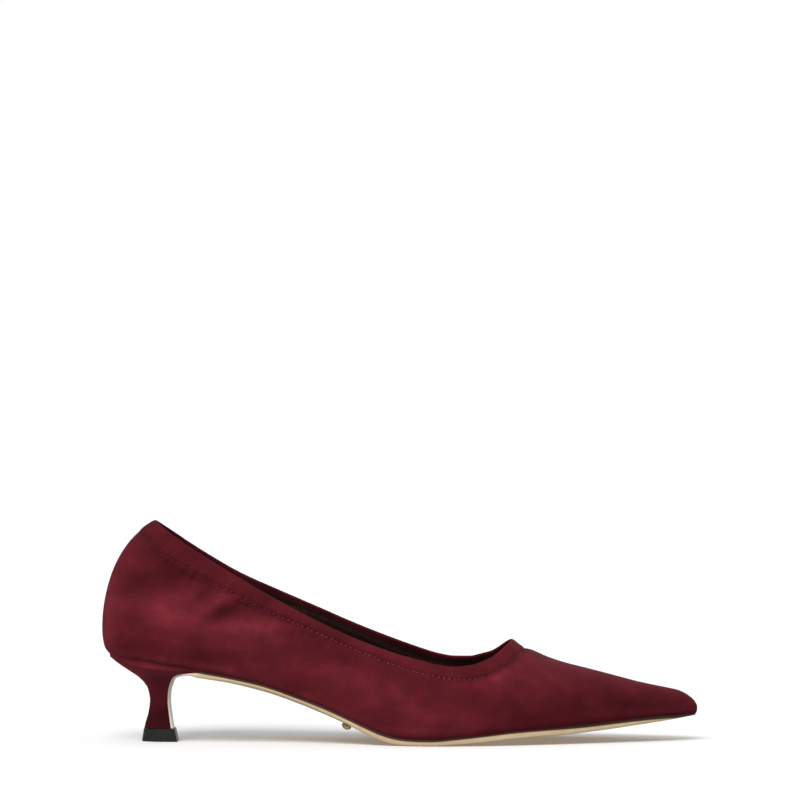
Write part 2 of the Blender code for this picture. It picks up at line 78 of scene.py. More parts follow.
# Brown along the sole's upper edge, part stain and part painted shade of the crevice under the upper, painted
# contact shade on its tread and cream tone of its flap
BURNISH_AND_SHADE_DEPTH = 0.9 * MM
BURNISH_AND_SHADE_FADE = 0.5 * MM
BURNISH_AND_SHADE_MORE = 0.4 * MM
MORE_START = 65.0 * MM
MORE_RUN = 20.0 * MM
BURNISH_AND_SHADE_START = -100.0 * MM
BURNISH_AND_SHADE_RUN = 6.0 * MM
FACES_DOWN = -0.8
FACES_RUN = 0.3
TREAD_PAINTED_SHADE = 0.16
TREAD_MIDDLE = 14.0 * MM
TREAD_RUN = 26.0 * MM
CREAM_END = -96.0 * MM
CREAM_RUN = 9.0 * MM

# Heel end of the last
HEEL_AXIS = -98.0 * MM
HEEL_RADIUS = 32.0 * MM
BACK_SWELL = 4.0 * MM
TUCK = 3.0 * MM
TUCK_SHARE = 0.45
UNDER_POWER = 2.5
TOE_UNDER_POWER = 3.0

# Toe end
TOE_TIP = SHOE_LENGTH / 2
TOE_ROUND = 10.0 * MM
TOE_UNDER_ROUND = 0.9 * MM
BOTTOM_CLOSES = 112.0 * MM
SOLE_TIP = 133.2 * MM
SOLE_ROUND = 9.0 * MM
INSOLE_TIP = 117.0 * MM
INSOLE_ROUND = 22.0 * MM

# Throat and the elastic band round the topline, which is looser behind than in front
THROAT = 50.3 * MM + UPPER_WALL / 2
THROAT_BAND = 7.0 * MM
THROAT_LIFT = 2.5 * MM
LIFT_RUN = 10.0 * MM
RIM_DROP = 0.4 * MM
RIM_FADE = 20.0 * MM
RIM_NEAR = 1.0 * MM
BAND_PUFF = 0.32 * MM
PUFF_POWER = 0.8
BAND_BLEND = 3.0 * MM
GROOVE_DEPTH = 0.4 * MM
GROOVE_WIDTH = 0.7 * MM
GATHER_DEPTH = 0.2 * MM
GATHER_REACH = 1.9 * MM
GATHER_SLANT = 0.6
LOOSE_END = -70.0 * MM
LOOSE_RUN = 60.0 * MM
HOLLOW_DEPTH = 0.5 * MM
HOLLOW_WIDTH = 2.6 * MM
PUCKER_PITCH = 5.3 * MM
PUCKER_DEPTH = 0.28 * MM
PUCKER_REACH = 4.5 * MM
PUCKER_POWER = 1.5
PUCKER_FRONT = 0.45
PUCKER_SWAY, LONG_SWAY, SHORT_SWAY = 1.3, 31.0 * MM, 13.0 * MM
BACK_SOFT = 0.35
BACK_RUN = 14.0 * MM

# Unevenness of the suede, and where the relief dies out towards the feather line and the middle line
SWAY_DEPTH = 0.22 * MM
SWAY_SIZE = 17.0 * MM
FEATHER_FADE_START = 2.0 * MM
FEATHER_FADE = 6.0 * MM
CREST = 9.0 * MM
STROKE_END = 1.5

# Painted shade on the rim and the fold inside it, in the stitched groove and along the feather line where the
# suede turns under
RIM_PAINTED_SHADE = -0.45
FOLD_PAINTED_SHADE = -0.62
GROOVE_PAINTED_SHADE = 0.18
FEATHER_PAINTED_SHADE = 0.25
FEATHER_LINE = 0.2 * MM
FEATHER_RUN = 0.7 * MM

# Stitching, and how far ahead on its path each stitch points
STITCH_PITCH = 2.35 * MM
STITCH_LENGTH = 1.25 * MM
STITCH_RADIUS = 0.19 * MM
STITCH_END = 0.05
STITCH_SUNK = 0.02 * MM
STITCH_SIDES = 8
STITCH_RINGS = 6
STITCH_AHEAD = 0.2

# Thread shades in sRGB, and how much of them is left under painted shade at shares of the way from back to
# front: darker where the stitches sink into the gathered groove
THREAD_OUTSIDE = ((116, 44, 51), (146, 70, 76))
THREAD_INSIDE = ((30, 14, 13), (42, 20, 18))
THREAD_BACK, THREAD_FRONT = -110.0 * MM, 55.0 * MM
THREAD_PAINTED_SHADE = [(0.0, 0.32), (0.25, 0.42), (0.42, 1.0), (0.80, 1.0), (0.90, 0.50)]

# Heel tip: the back, front and half width of its top and its foot
TIP_TOP = 5.7 * MM
HEEL_FOOT = TIP_TOP + GAP
TIP_TOP_PLAN = np.array([-115.2, -101.1, 7.5]) * MM
TIP_FOOT_PLAN = np.array([-116.1, -99.9, 8.3]) * MM
TIP_POWER = 2.6
TIP_BEVEL = 0.35 * MM
TIP_BEVEL_STEPS = 3
TIP_RINGS = 5

# Stud under the waist
STUD_X = -23.5 * MM
STUD_FROM_EDGE = 5.0 * MM
STUD_RADIUS = 2.15 * MM
STUD_FOOT = 0.95
STUD_LIP = 0.1 * MM
STUD_RIM = 0.5 * MM
STUD_DOME = 1.6 * MM
STUD_RINGS = 12
STUD_SIDES = 40

# Mesh density
FAN_STEPS = 64
SECTION_STEP = 1.0 * MM
TOPLINE_STEP = 0.6 * MM
THROAT_STEP = 0.5 * MM
THROAT_ZONE = 13.0 * MM
NOSE_STEPS = 22
SAMPLES = 160
UNDER_ROWS = 14
WALL_ROWS = 30
BAND_ROWS = 26
BAND_REACH = 14.0 * MM
BAND_SHARE = 0.55
BISECTIONS = 40
EDGE_STEP = 0.25 * MM
RIM_STEPS = 6
MERGE = 0.002 * MM
SOLE_STEP = 3.0 * MM
SOLE_NOSE_STEPS = 12
BEHIND_NOSE = 3
PATH_STEP = 0.8 * MM
ACROSS_STEPS = 18
SOCK_ACROSS = 20
RING_STEPS = 64
HEEL_STEPS = 90
SOLE_CORNER = radians(50)
HEEL_CORNER = radians(40)

# Camera: level, square to the shoe's side, at the photograph's distance and height
CAMERA_DISTANCE = 2.1
CAMERA_HEIGHT = 153.3 * MM
VIEW_WIDTH = 0.36
SENSOR = 36.0

# Studio: an even light from all round, and lamps that shine from a direction over a wide angle
WHITE = (1.0, 1.0, 1.0, 1.0)
FLOOR_REACH = 50.0
FLOOR_SHADE = 1.0
FLOOR_GLOW = 0.06
AMBIENT_ABOVE, AMBIENT_BELOW = 0.31, 0.10
AMBIENT_BLEND = 0.3
Lamp = namedtuple("Lamp", "name towards strength softness shadow")
LAMPS = [
    Lamp("key", (-0.28, -0.85, 0.95), 2.27, radians(38), True),
    Lamp("fill", (1.0, -0.4, 0.5), 0.38, radians(60), True),
    Lamp("side", (-1.0, -0.35, 0.1), 0.28, radians(60), True),
    Lamp("top", (0.0, 0.3, 1.0), 0.26, radians(60), True),
    Lamp("back", (0.3, 1.0, 0.05), 1.0, radians(60), False),
    Lamp("bounce", (-0.3, -0.7, -0.8), 0.48, radians(60), False),
]


def table(row_type, lengths, rows):
    """Rows with named columns; the columns named in lengths are written in mm."""
    scales = [MM if name in lengths.split() else 1.0 for name in row_type._fields]
    return [row_type(*[value * scale for value, scale in zip(row, scales)]) for row in rows]


# Last: along is a share of the length from the back. Half widths of the feather line and how far the
# wall swells past it are shares of the ball width. Girth (above the seat) and ridge are shares of the instep.
Last = namedtuple("Last", "along lateral medial swell_lateral swell_medial girth ridge")
LAST = table(Last, "", [
    (0.134, 0.338, 0.338, 0.040, 0.040, 0.272, 2.370),
    (0.220, 0.323, 0.296, 0.036, 0.060, 0.277, 2.270),
    (0.313, 0.323, 0.253, 0.035, 0.081, 0.277, 1.990),
    (0.399, 0.364, 0.270, 0.035, 0.074, 0.266, 1.660),
    (0.500, 0.464, 0.385, 0.040, 0.045, 0.245, 1.370),
    (0.567, 0.501, 0.466, 0.040, 0.040, 0.235, 1.220),
    (0.634, 0.488, 0.499, 0.038, 0.038, 0.220, 1.100),
    (0.694, 0.445, 0.482, 0.034, 0.034, 0.208, 0.988),
    (0.769, 0.358, 0.420, 0.028, 0.028, 0.180, 0.836),
    (0.843, 0.256, 0.334, 0.024, 0.024, 0.145, 0.712),
    (0.910, 0.159, 0.243, 0.020, 0.020, 0.120, 0.605),
    (0.963, 0.075, 0.167, 0.018, 0.018, 0.092, 0.531),
    (1.000, 0.011, 0.111, 0.016, 0.016, 0.060, 0.478),
])

# Seat: height of the feather line as a share of the heel height, level over the tread
TREAD_SEAT = (TREAD_THICKNESS + GAP) / HEEL_HEIGHT
TREAD_START, TREAD_END = 0.530, 0.552
Seat = namedtuple("Seat", "along height")
SEAT = table(Seat, "", [
    (0.019, 1.000),
    (0.060, 0.980),
    (0.104, 0.930),
    (0.138, 0.881),
    (0.168, 0.836),
    (0.211, 0.779),
    (0.271, 0.684),
    (0.331, 0.538),
    (0.371, 0.432),
    (0.411, 0.309),
    (0.440, 0.216),
    (0.470, 0.129),
    (0.490, 0.091),
    (0.510, 0.072),
    (TREAD_START, TREAD_SEAT),
    (TREAD_END, TREAD_SEAT),
    (0.590, 0.087),
    (0.629, 0.115),
    (0.688, 0.159),
    (0.765, 0.194),
    (0.832, 0.234),
    (0.899, 0.277),
    (0.963, 0.308),
    (1.000, 0.316),
])

# Topline seen from the side, as shares of the height at the back, lower on the outer side
Topline = namedtuple("Topline", "along lateral medial")
TOPLINE = table(Topline, "", [
    (0.088, 1.004, 1.004),
    (0.108, 0.964, 0.964),
    (0.160, 0.868, 0.868),
    (0.228, 0.755, 0.759),
    (0.295, 0.650, 0.678),
    (0.366, 0.551, 0.596),
    (0.433, 0.470, 0.518),
    (0.500, 0.408, 0.446),
    (0.534, 0.384, 0.412),
    (0.567, 0.363, 0.384),
    (0.593, 0.356, 0.372),
    (0.619, 0.362, 0.371),
    (0.642, 0.381, 0.385),
    (0.664, 0.407, 0.404),
])

# Outsole: edge thickness and how much deeper its middle is
Sole = namedtuple("Sole", "along thickness crown")
SOLE = table(Sole, "thickness crown", [
    (0.168, 2.4, 1.0),
    (0.220, 1.8, 1.4),
    (0.270, 1.7, 1.8),
    (0.330, 1.6, 1.8),
    (0.370, 2.0, 1.6),
    (0.410, 2.1, 1.4),
    (0.440, 2.6, 0.9),
    (0.470, 2.8, 0.4),
    (0.490, 2.5, 0.1),
    (0.510, 2.35, 0.0),
    (TREAD_START, TREAD_THICKNESS / MM, 0.0),
    (TREAD_END, TREAD_THICKNESS / MM, 0.0),
    (0.590, 2.5, 0.1),
    (0.630, 2.8, 0.2),
    (0.700, 2.9, 0.4),
    (0.765, 2.9, 0.4),
    (0.850, 2.7, 0.4),
    (0.930, 2.0, 0.2),
    (1.000, 0.3, 0.0),
])

# Edge of the sole from its top down: how far in from the outline, and the share of the thickness
SoleEdge = namedtuple("SoleEdge", "inset share")
SOLE_EDGE = table(SoleEdge, "inset", [
    (0.25, 0.0),
    (0.12, 0.06),
    (0.05, 0.12),
    (0.02, 0.20),
    (0.0, 0.28),
    (0.0, 0.36),
    (0.0, 0.44),
    (0.01, 0.52),
    (0.03, 0.62),
    (0.08, 0.73),
    (0.16, 0.84),
    (0.30, 0.92),
    (0.45, 0.97),
    (0.9, 1.0),
])

# Heel: levels from the seat down to the tip, each with its back, its breast (front) and its half width
Level = namedtuple("Level", "back_x back_z front_x front_z half")
HEEL = table(Level, "back_x back_z front_x front_z half", [
    (-130.7, 38.2, -88.8, 32.0, 24.5),
    (-128.1, 36.0, -95.0, 31.6, 23.4),
    (-125.6, 34.2, -98.7, 31.0, 20.8),
    (-121.7, 31.6, -101.4, 29.4, 16.6),
    (-117.8, 29.0, -102.8, 27.2, 12.6),
    (-115.2, 26.4, -103.6, 25.0, 9.8),
    (-113.5, 23.7, -104.1, 22.9, 7.9),
    (-112.5, 18.3, -104.4, 18.3, 6.3),
    (-113.2, 12.9, -103.9, 12.9, 6.0),
    (-114.4, 8.6, -103.3, 8.6, 6.5),
    (-115.0, HEEL_FOOT / MM, -102.9, HEEL_FOOT / MM, 7.0),
])
SEAT_POWER = 2.0
STEM_POWER = 2.5
STEM_ROW = 6
SEAT_FIT = 0.03 * MM

# Painted light and shade on the heel's cover by height, lighter near the seat and darker towards the foot,
# and how much painted shade darkens its front wedge
HeelPaintedLight = namedtuple("HeelPaintedLight", "z amount")
HEEL_PAINTED_LIGHT = table(HeelPaintedLight, "z", [
    (6.0, -1.0),
    (11.0, -0.95),
    (14.0, -0.60),
    (17.5, 0.0),
    (21.0, 0.40),
    (24.0, 0.55),
    (28.0, 0.50),
    (31.5, 0.95),
    (34.0, 0.90),
    (36.0, 0.60),
])
WEDGE_PAINTED_SHADE = 0.9
WEDGE_START = -99.0 * MM
WEDGE_RUN = 5.0 * MM

# Elastic band by place along the topline: how far below the topline its stitches run, and its nap with
# painted shade, darker where the band is gathered
StitchLine = namedtuple("StitchLine", "x below")
STITCH_LINE = table(StitchLine, "x below", [
    (-110, 7.8),
    (-99, 9.4),
    (-88, 8.8),
    (-78, 7.6),
    (-65, 6.7),
    (-56, 6.3),
    (-48, 5.6),
    (-40, 4.8),
    (-29, 4.4),
    (-18, 4.4),
    (-8, 4.8),
    (6, 5.6),
    (22, 5.9),
    (29, 6.9),
    (36, 7.1),
    (43, 7.1),
    (50, 6.6),
])
BandNapAndShade = namedtuple("BandNapAndShade", "x amount")
BAND_NAP_AND_SHADE = table(BandNapAndShade, "x", [
    (-112, -0.56),
    (-95, -0.64),
    (-84, -0.32),
    (-74, -0.20),
    (-55, -0.28),
    (-15, -0.28),
    (20, -0.25),
    (38, -0.50),
    (50, -0.20),
])

# Swells across the vamp: where along it, how long and how high
Swell = namedtuple("Swell", "x run height")
SWELLS = table(Swell, "x run height", [
    (59.5, 4.5, 0.45),
    (74.0, 9.0, -0.45),
    (100.0, 16.0, -0.3),
])

# Strokes seen from the side they are on: a soft mark from one place to another, as wide as it says
Stroke = namedtuple("Stroke", "x z to_x to_z width amount")

# Creases: troughs in mm, and ridges where the depth is negative
CREASE_LENGTHS = "x z to_x to_z width amount"
CREASES = {
    LATERAL: table(Stroke, CREASE_LENGTHS, [
        (-66, 64, -79, 57, 3.6, 1.7),
        (-85, 60, -73, 67.5, 3, -0.8),
        (-117, 70.5, -99, 71, 6, 1.3),
        (-106, 83.5, -92, 74.5, 3.5, 1.0),
        (-120, 59, -97, 64, 5, -0.7),
        (-106, 55.5, -96, 57, 6, -1.3),
        (-80, 72.5, -88.5, 65.5, 2.2, 0.8),
        (-68, 51.5, -54, 50, 4.5, -1.3),
        (-96, 52.6, -73, 52.2, 4.5, -0.6),
        (-119, 50, -106, 47.5, 5.5, 0.8),
        (-52, 48.8, -38, 46.6, 3.5, 0.9),
        (-40, 34, -31, 32, 5.5, -0.7),
        (2, 32, 14, 28, 5, 0.6),
        (-18, 27, -8, 22, 5, -0.5),
        (66, 27, 80, 24, 5, 0.4),
    ]),
    MEDIAL: table(Stroke, CREASE_LENGTHS, [
        (-76, 66, -87, 59, 3.8, 1.8),
        (-114, 69, -98, 72, 6, 0.8),
        (-114, 60, -94, 65, 5, -0.7),
        (-70, 57, -57, 55, 4.5, -1.1),
        (-50, 51, -38, 48, 3.6, 0.8),
        (-116, 50, -104, 48, 5.5, 0.6),
        (2, 30, 15, 27, 5.5, 0.5),
    ]),
}

# Nap and painted light and shade: where the suede is made lighter, or darker where the amount is negative;
# partly the pile's lie, partly painted light and shade such as the darker lower toe, shaded creases and
# lighter bottom edges
NAP_AND_LIGHT_LENGTHS = "x z to_x to_z width"
NAP_AND_PAINTED_LIGHT = {
    LATERAL: table(Stroke, NAP_AND_LIGHT_LENGTHS, [
        (-113, 88, -98, 79, 5, -0.40),
        (-117, 75, -102, 76, 4.5, -0.60),
        (-106, 87, -91, 77, 2.6, -0.60),
        (-113, 83, -107, 81, 4.5, -0.40),
        (-101, 67, -94, 66.5, 4, 0.38),
        (-119, 69.5, -103, 70.5, 4.5, -0.50),
        (-73, 60.5, -79, 58, 2.6, -0.60),
        (-65, 60.5, -58, 59.5, 2.5, -0.35),
        (-80, 72.5, -88.5, 66, 2, -0.25),
        (-85, 60, -78, 64, 3, 0.40),
        (-130, 72, -131, 46, 4, 0.50),
        (-120, 60, -97, 64.5, 3.5, 0.20),
        (-103, 56.5, -96, 57, 5.5, 0.75),
        (-68, 51, -54, 49.8, 5, 0.95),
        (-94, 52, -72, 51.5, 3.5, 0.40),
        (-122, 45.5, -106, 43.5, 4, -0.45),
        (-90, 41, -80, 40, 4.5, -0.30),
        (-50, 50, -44, 48.5, 3.2, -0.45),
        (-48, 44, -22, 40, 4.5, -0.30),
        (-42, 32, -30, 30.5, 5, 0.25),
        (-22, 29, -12, 22, 5, 0.25),
        (-3, 35, 9, 31.5, 5, -0.33),
        (8, 25, 44, 19, 6.5, -0.32),
        (46, 33, 62, 33, 6, 0.20),
        (72, 23, 112, 19, 4.5, -0.42),
        (56, 12.5, 78, 14, 5, -0.60),
        (100, 15.5, 118, 16.5, 4.5, -0.30),
        (-50, 29, -42, 27, 4.5, -0.25),
        (-65, 34, -57, 30.5, 3.5, 0.35),
        (-126, 40, -106, 37, 2, 0.80),
        (-106, 37, -76, 33, 2, 0.85),
        (-76, 32, -42, 21, 2, 0.45),
        (-98, 46, -55, 43.5, 4, 0.25),
        (-2, 25, 4, 17, 4, 0.35),
        (14, 13, 26, 12, 4, 0.30),
        (25, 32, 42, 33, 3, 0.35),
        (68, 30, 72, 26, 3, 0.20),
        (68, 19.5, 79, 19, 3.5, -0.30),
        (93, 20, 102, 18.5, 4, -0.25),
        (113, 24, 124, 20, 3.5, -0.30),
        (-42, 21, -8, 7, 2.4, 0.55),
        (-8, 6.5, 32, 5.5, 2.2, 0.50),
        (104, 14, 130, 14.5, 1.8, 0.30),
    ]),
    MEDIAL: table(Stroke, NAP_AND_LIGHT_LENGTHS, [
        (-116, 74, -101, 76, 4.5, -0.50),
        (-76, 67.5, -86, 60.5, 3, -0.65),
        (-118, 62, -95, 66, 4.5, 0.45),
        (-69, 57, -57, 55, 4, 0.55),
        (-124, 50, -106, 46, 5, -0.35),
        (-46, 45, -22, 41, 4.5, -0.25),
        (8, 25, 40, 19, 7, -0.20),
        (66, 15, 112, 16, 6, -0.45),
    ]),
}


def curve_through(xs, ys):
    """A smooth curve through the points that never overshoots them (monotone cubic)."""
    xs = np.asarray(xs, float)
    ys = np.asarray(ys, float)
    run = np.diff(xs)
    slope = np.diff(ys) / run
    tangent = np.concatenate([slope[:1], np.zeros(len(xs) - 2), slope[-1:]])
    for i in range(1, len(xs) - 1):
        if slope[i - 1] * slope[i] > 0:
            weight_before = 2 * run[i] + run[i - 1]
            weight_after = run[i] + 2 * run[i - 1]
            harmonic = weight_before / slope[i - 1] + weight_after / slope[i]
            tangent[i] = (weight_before + weight_after) / harmonic

    def value(x):
        x = np.clip(x, xs[0], xs[-1])
        i = np.clip(np.searchsorted(xs, x, side="right") - 1, 0, len(run) - 1)
        t = (x - xs[i]) / run[i]
        eased = ys[i] + (ys[i + 1] - ys[i]) * t * t * (3 - 2 * t)
        bend = tangent[i] * (1 - t) - tangent[i + 1] * t
        return eased + run[i] * t * (1 - t) * bend

    return value


def x_at(along):
    """Place along the shoe of a share of its length."""
    return (along - 0.5) * SHOE_LENGTH


def curve(rows, name, scale=1.0):
    """A table's column as a smooth function of its first column, with a share of the length as a place."""
    places = [x_at(row.along) if hasattr(row, "along") else row[0] for row in rows]
    return curve_through(places, [getattr(row, name) * scale for row in rows])


half_lateral = curve(LAST, "lateral", BALL_WIDTH)
half_medial = curve(LAST, "medial", BALL_WIDTH)
swell_of = {
    LATERAL: curve(LAST, "swell_lateral", BALL_WIDTH),
    MEDIAL: curve(LAST, "swell_medial", BALL_WIDTH),
}
girth_rise = curve(LAST, "girth", INSTEP_HEIGHT)
ridge_height = curve(LAST, "ridge", INSTEP_HEIGHT)
seat_height = curve(SEAT, "height", HEEL_HEIGHT)
sole_thickness = curve(SOLE, "thickness")
sole_crown = curve(SOLE, "crown")
stitch_below = curve(STITCH_LINE, "below")
band_nap_and_shade = curve(BAND_NAP_AND_SHADE, "amount")
heel_painted_light = curve(HEEL_PAINTED_LIGHT, "amount")


def topline_curve(name):
    """Height of one side's topline against x, ending on the ridge at the throat."""
    xs = [x_at(row.along) for row in TOPLINE] + [THROAT]
    heights = [getattr(row, name) * BACK_HEIGHT for row in TOPLINE]
    return curve_through(xs, heights + [float(ridge_height(THROAT))])


topline_of = {LATERAL: topline_curve("lateral"), MEDIAL: topline_curve("medial")}


def smooth_step(t):
    """Eases from 0 to 1 as t does."""
    t = np.clip(t, 0.0, 1.0)
    return t * t * (3 - 2 * t)


def bell(t):
    """A soft bump of height 1 round 0."""
    return np.exp(-(t**2))


def round_end(x, tip, length):
    """Factor from 1 to 0 that closes an outline over a rounded end."""
    t = np.clip((x - (tip - length)) / length, 0.0, 1.0)
    return np.sqrt(1 - t * t)


# Sections of the last, each in its own upright plane: every field is a column of numbers
Sections = namedtuple("Sections", "x axis_x axis_y out_x out_y length swell tuck power seat girth ridge")


def heel_sections(side, turns):
    """The heel's fan, turned from 0 at the back to 90 degrees at the side."""
    foot_x = -HEEL_RADIUS * np.cos(turns)
    foot_y = side * half_lateral(HEEL_AXIS) * np.sin(turns)
    length = np.hypot(foot_x, foot_y)
    back = np.cos(turns) ** 2
    x = HEEL_AXIS + foot_x
    level = np.ones_like(turns)
    return Sections(
        x=x,
        axis_x=HEEL_AXIS * level,
        axis_y=0 * level,
        out_x=foot_x / length,
        out_y=foot_y / length,
        length=length,
        swell=swell_of[side](HEEL_AXIS) * (1 - back) + BACK_SWELL * back,
        tuck=TUCK * level,
        power=UNDER_POWER * level,
        seat=seat_height(x),
        girth=seat_height(x) + girth_rise(HEEL_AXIS),
        ridge=ridge_height(HEEL_AXIS) * level,
    )


def cross_sections(side, x):
    """Sections square to the shoe, from the heel's axis to the tip of the toe."""
    close = round_end(x, TOE_TIP, TOE_ROUND)
    close_under = round_end(x, TOE_TIP, TOE_UNDER_ROUND)
    half = (half_lateral(x) + half_medial(x)) / 2 * close
    nose = seat_height(TOE_TIP) + girth_rise(TOE_TIP)
    seat = seat_height(x)
    return Sections(
        x=x,
        axis_x=x,
        axis_y=(half_medial(x) - half_lateral(x)) / 2,
        out_x=0 * x,
        out_y=side + 0 * x,
        length=half,
        swell=swell_of[side](x) * close,
        tuck=np.minimum(TUCK, TUCK_SHARE * half),
        power=UNDER_POWER + (TOE_UNDER_POWER - UNDER_POWER) * smooth_step(x / TOE_TIP),
        seat=nose + (seat - nose) * close_under,
        girth=nose + (seat + girth_rise(x) - nose) * close,
        ridge=nose + (ridge_height(x) - nose) * close,
    )


def section_places():
    """Places of the square sections, denser round the throat and over the nose."""
    start = THROAT - THROAT_ZONE
    end = THROAT + THROAT_ZONE
    zone_points = round(THROAT_ZONE / THROAT_STEP) + 1
    nose_start = TOE_TIP - TOE_ROUND
    turns = np.linspace(0.0, pi / 2, NOSE_STEPS + 1)[1:]
    return np.concatenate([
        np.arange(HEEL_AXIS + TOPLINE_STEP, start - TOPLINE_STEP / 2, TOPLINE_STEP),
        np.linspace(start, THROAT, zone_points),
        np.linspace(THROAT, end, zone_points)[1:],
        np.arange(end + SECTION_STEP, nose_start - SECTION_STEP / 2, SECTION_STEP),
        [nose_start],
        nose_start + TOE_ROUND * np.sin(turns),
    ])


def sections(side):
    """One side's sections from the back of the heel to the tip of the toe."""
    fan = heel_sections(side, np.linspace(0.0, pi / 2, FAN_STEPS + 1))
    square = cross_sections(side, section_places())
    return Sections(*[np.concatenate(pair)[:, None] for pair in zip(fan, square)])


def wall_point(cuts, rise):
    """Reach and height on the wall, from the girth (0) to the ridge (90 degrees)."""
    reach = (cuts.length + cuts.swell) * np.cos(rise)
    return reach, cuts.girth + (cuts.ridge - cuts.girth) * np.sin(rise)


def under_point(cuts, dip):
    """Reach and height below the girth, down to the lasting margin (90 degrees)."""
    reach = cuts.length - cuts.tuck + (cuts.swell + cuts.tuck) * np.cos(dip) ** (2 / cuts.power)
    return reach, cuts.girth - (cuts.girth - cuts.seat) * np.sin(dip) ** (2 / cuts.power)


def in_space(cuts, reach, height):
    """Points of the sections at a reach from their axes."""
    x = cuts.axis_x + cuts.out_x * reach
    y = cuts.axis_y + cuts.out_y * reach
    return np.stack([x, y, height + 0 * reach], axis=-1)


def edge_height(side, x):
    """Height of the topline's outer edge, a little under the top of its rounded rim."""
    return topline_of[side](x) - RIM_DROP * (1 - smooth_step((x - RIM_FADE) / (THROAT - RIM_FADE)))


def collar_rise(side, cuts):
    """Rise at which each section meets the topline, or the ridge in front of the throat."""
    low = np.zeros_like(cuts.x)
    high = np.full_like(cuts.x, pi / 2)
    for _ in range(BISECTIONS):
        middle = (low + high) / 2
        point = in_space(cuts, *wall_point(cuts, middle))
        below = point[..., 2] < edge_height(side, point[..., 0])
        low = np.where(below, middle, low)
        high = np.where(below, high, middle)
    return np.where(cuts.x >= THROAT, pi / 2, low)


def path_lengths(points):
    """Distance along each polyline at each of its points."""
    steps = np.linalg.norm(np.diff(points, axis=-2), axis=-1)
    return np.concatenate([np.zeros((*steps.shape[:-1], 1)), np.cumsum(steps, axis=-1)], axis=-1)


def resample(curves, shares):
    """Points of each polyline at its row of shares of its length."""
    result = np.empty((*shares.shape, 3))
    for line, length, places, row in zip(curves, path_lengths(curves), shares, result):
        for axis in range(3):
            row[:, axis] = np.interp(places * length[-1], length, line[:, axis])
    return result


def upper_rows(side):
    """Grid of the upper's outer face: sections by rows from the lasting margin to the topline or ridge."""
    cuts = sections(side)
    dips = np.linspace(pi / 2, 0.0, SAMPLES)[None, :]
    under = in_space(cuts, *under_point(cuts, dips))
    rises = np.linspace(0.0, 1.0, SAMPLES)[None, :] * collar_rise(side, cuts)
    wall = in_space(cuts, *wall_point(cuts, rises))
    height = np.maximum(path_lengths(wall)[:, -1:], TINY)
    reach = np.minimum(BAND_REACH / height, BAND_SHARE)
    near = 1 - reach * np.linspace(1.0, 0.0, BAND_ROWS)[None, :]
    far = (1 - reach) * np.linspace(0.0, 1.0, WALL_ROWS, endpoint=False)[None, :]
    under_shares = np.repeat(np.linspace(0.0, 1.0, UNDER_ROWS + 1)[None, :], len(cuts.x), axis=0)
    rows = [resample(under, under_shares), resample(wall, np.concatenate([far, near], axis=1))[:, 1:]]
    inner = np.maximum(cuts.length - cuts.tuck - LASTING_MARGIN, 0.0)
    margin = in_space(cuts, np.where(cuts.x > BOTTOM_CLOSES, 0.0, inner), cuts.seat)
    in_fan = cuts.x[:, 0] < HEEL_AXIS
    margin[in_fan, :, 2] = seat_height(margin[in_fan, :, 0])
    return np.concatenate([margin, *rows], axis=1)


def throat_lift(points, away):
    """The points with the throat's standing edge worked in."""
    near = smooth_step((points[..., 0] - THROAT + LIFT_RUN) / LIFT_RUN)
    lifted = points.copy()
    lifted[..., 2] += THROAT_LIFT * near * np.clip(1 - away / THROAT_BAND, 0.0, 1.0) ** 2
    return lifted


class Edge:
    """The topline of both sides, for distances from it and along it."""

    def __init__(self, rows):
        edges = [fine_edge(rows[side]) for side in rows]
        self.points = np.concatenate(edges)
        self.along = np.concatenate([path_lengths(points[None])[0] for points in edges])
        self.tree = KDTree(len(self.points))
        for i, point in enumerate(self.points):
            self.tree.insert(point, i)
        self.tree.balance()

    def nearest(self, points):
        """Distance to the topline, its x there and the distance along it, for each point."""
        found = [self.tree.find(point) for point in points.reshape(-1, 3)]
        index = np.array([i for _, i, _ in found])
        away = np.array([distance for _, _, distance in found])
        results = (away, self.points[index, 0], self.along[index])
        return [values.reshape(points.shape[:-1]) for values in results]


def fine_edge(rows):
    """A closely sampled polyline along the last row of a grid, as far as the throat."""
    edge = rows[:, -1][rows[:, -1, 0] <= THROAT + TINY]
    steps = int(path_lengths(edge[None])[0, -1] / EDGE_STEP)
    return resample(edge[None], np.linspace(0.0, 1.0, steps)[None])[0]


def mesh_of(name, points, faces):
    """A smooth mesh of points and faces."""
    mesh = bpy.data.meshes.new(name)
    mesh.from_pydata(points, [], faces)
    mesh.shade_smooth()
    return mesh


def grid_mesh(name, grids, closed=False):
    """One mesh of several (points by rows, flip) grids with shared seams; its slivers are closed if asked."""
    points, faces = [], []
    for rows, flip in grids:
        count, across = rows.shape[:2]
        index = np.arange(count * across).reshape(count, across) + len(points)
        quads = np.stack([index[:-1, :-1], index[1:, :-1], index[1:, 1:], index[:-1, 1:]], axis=-1)
        quads = quads.reshape(-1, 4)
        faces.extend((quads[:, ::-1] if flip else quads).tolist())
        points.extend(rows.reshape(-1, 3).tolist())
    mesh = mesh_of(name, points, faces)
    work = bmesh.new()
    work.from_mesh(mesh)
    bmesh.ops.remove_doubles(work, verts=work.verts, dist=MERGE)
    if closed:
        bmesh.ops.holes_fill(work, edges=[edge for edge in work.edges if edge.is_boundary])
        bmesh.ops.recalc_face_normals(work, faces=work.faces)
    work.to_mesh(mesh)
    work.free()
    mesh.shade_smooth()
    return mesh


def vectors(collection, name):
    """A vector kept on each item of a mesh's collection, as an array."""
    values = np.empty(len(collection) * 3)
    collection.foreach_get(name, values)
    return values.reshape(-1, 3)


def coordinates(mesh):
    """The mesh's points."""
    return vectors(mesh.vertices, "co")


def normals(mesh):
    """The outward direction at each of the mesh's points."""
    return vectors(mesh.vertex_normals, "vector")


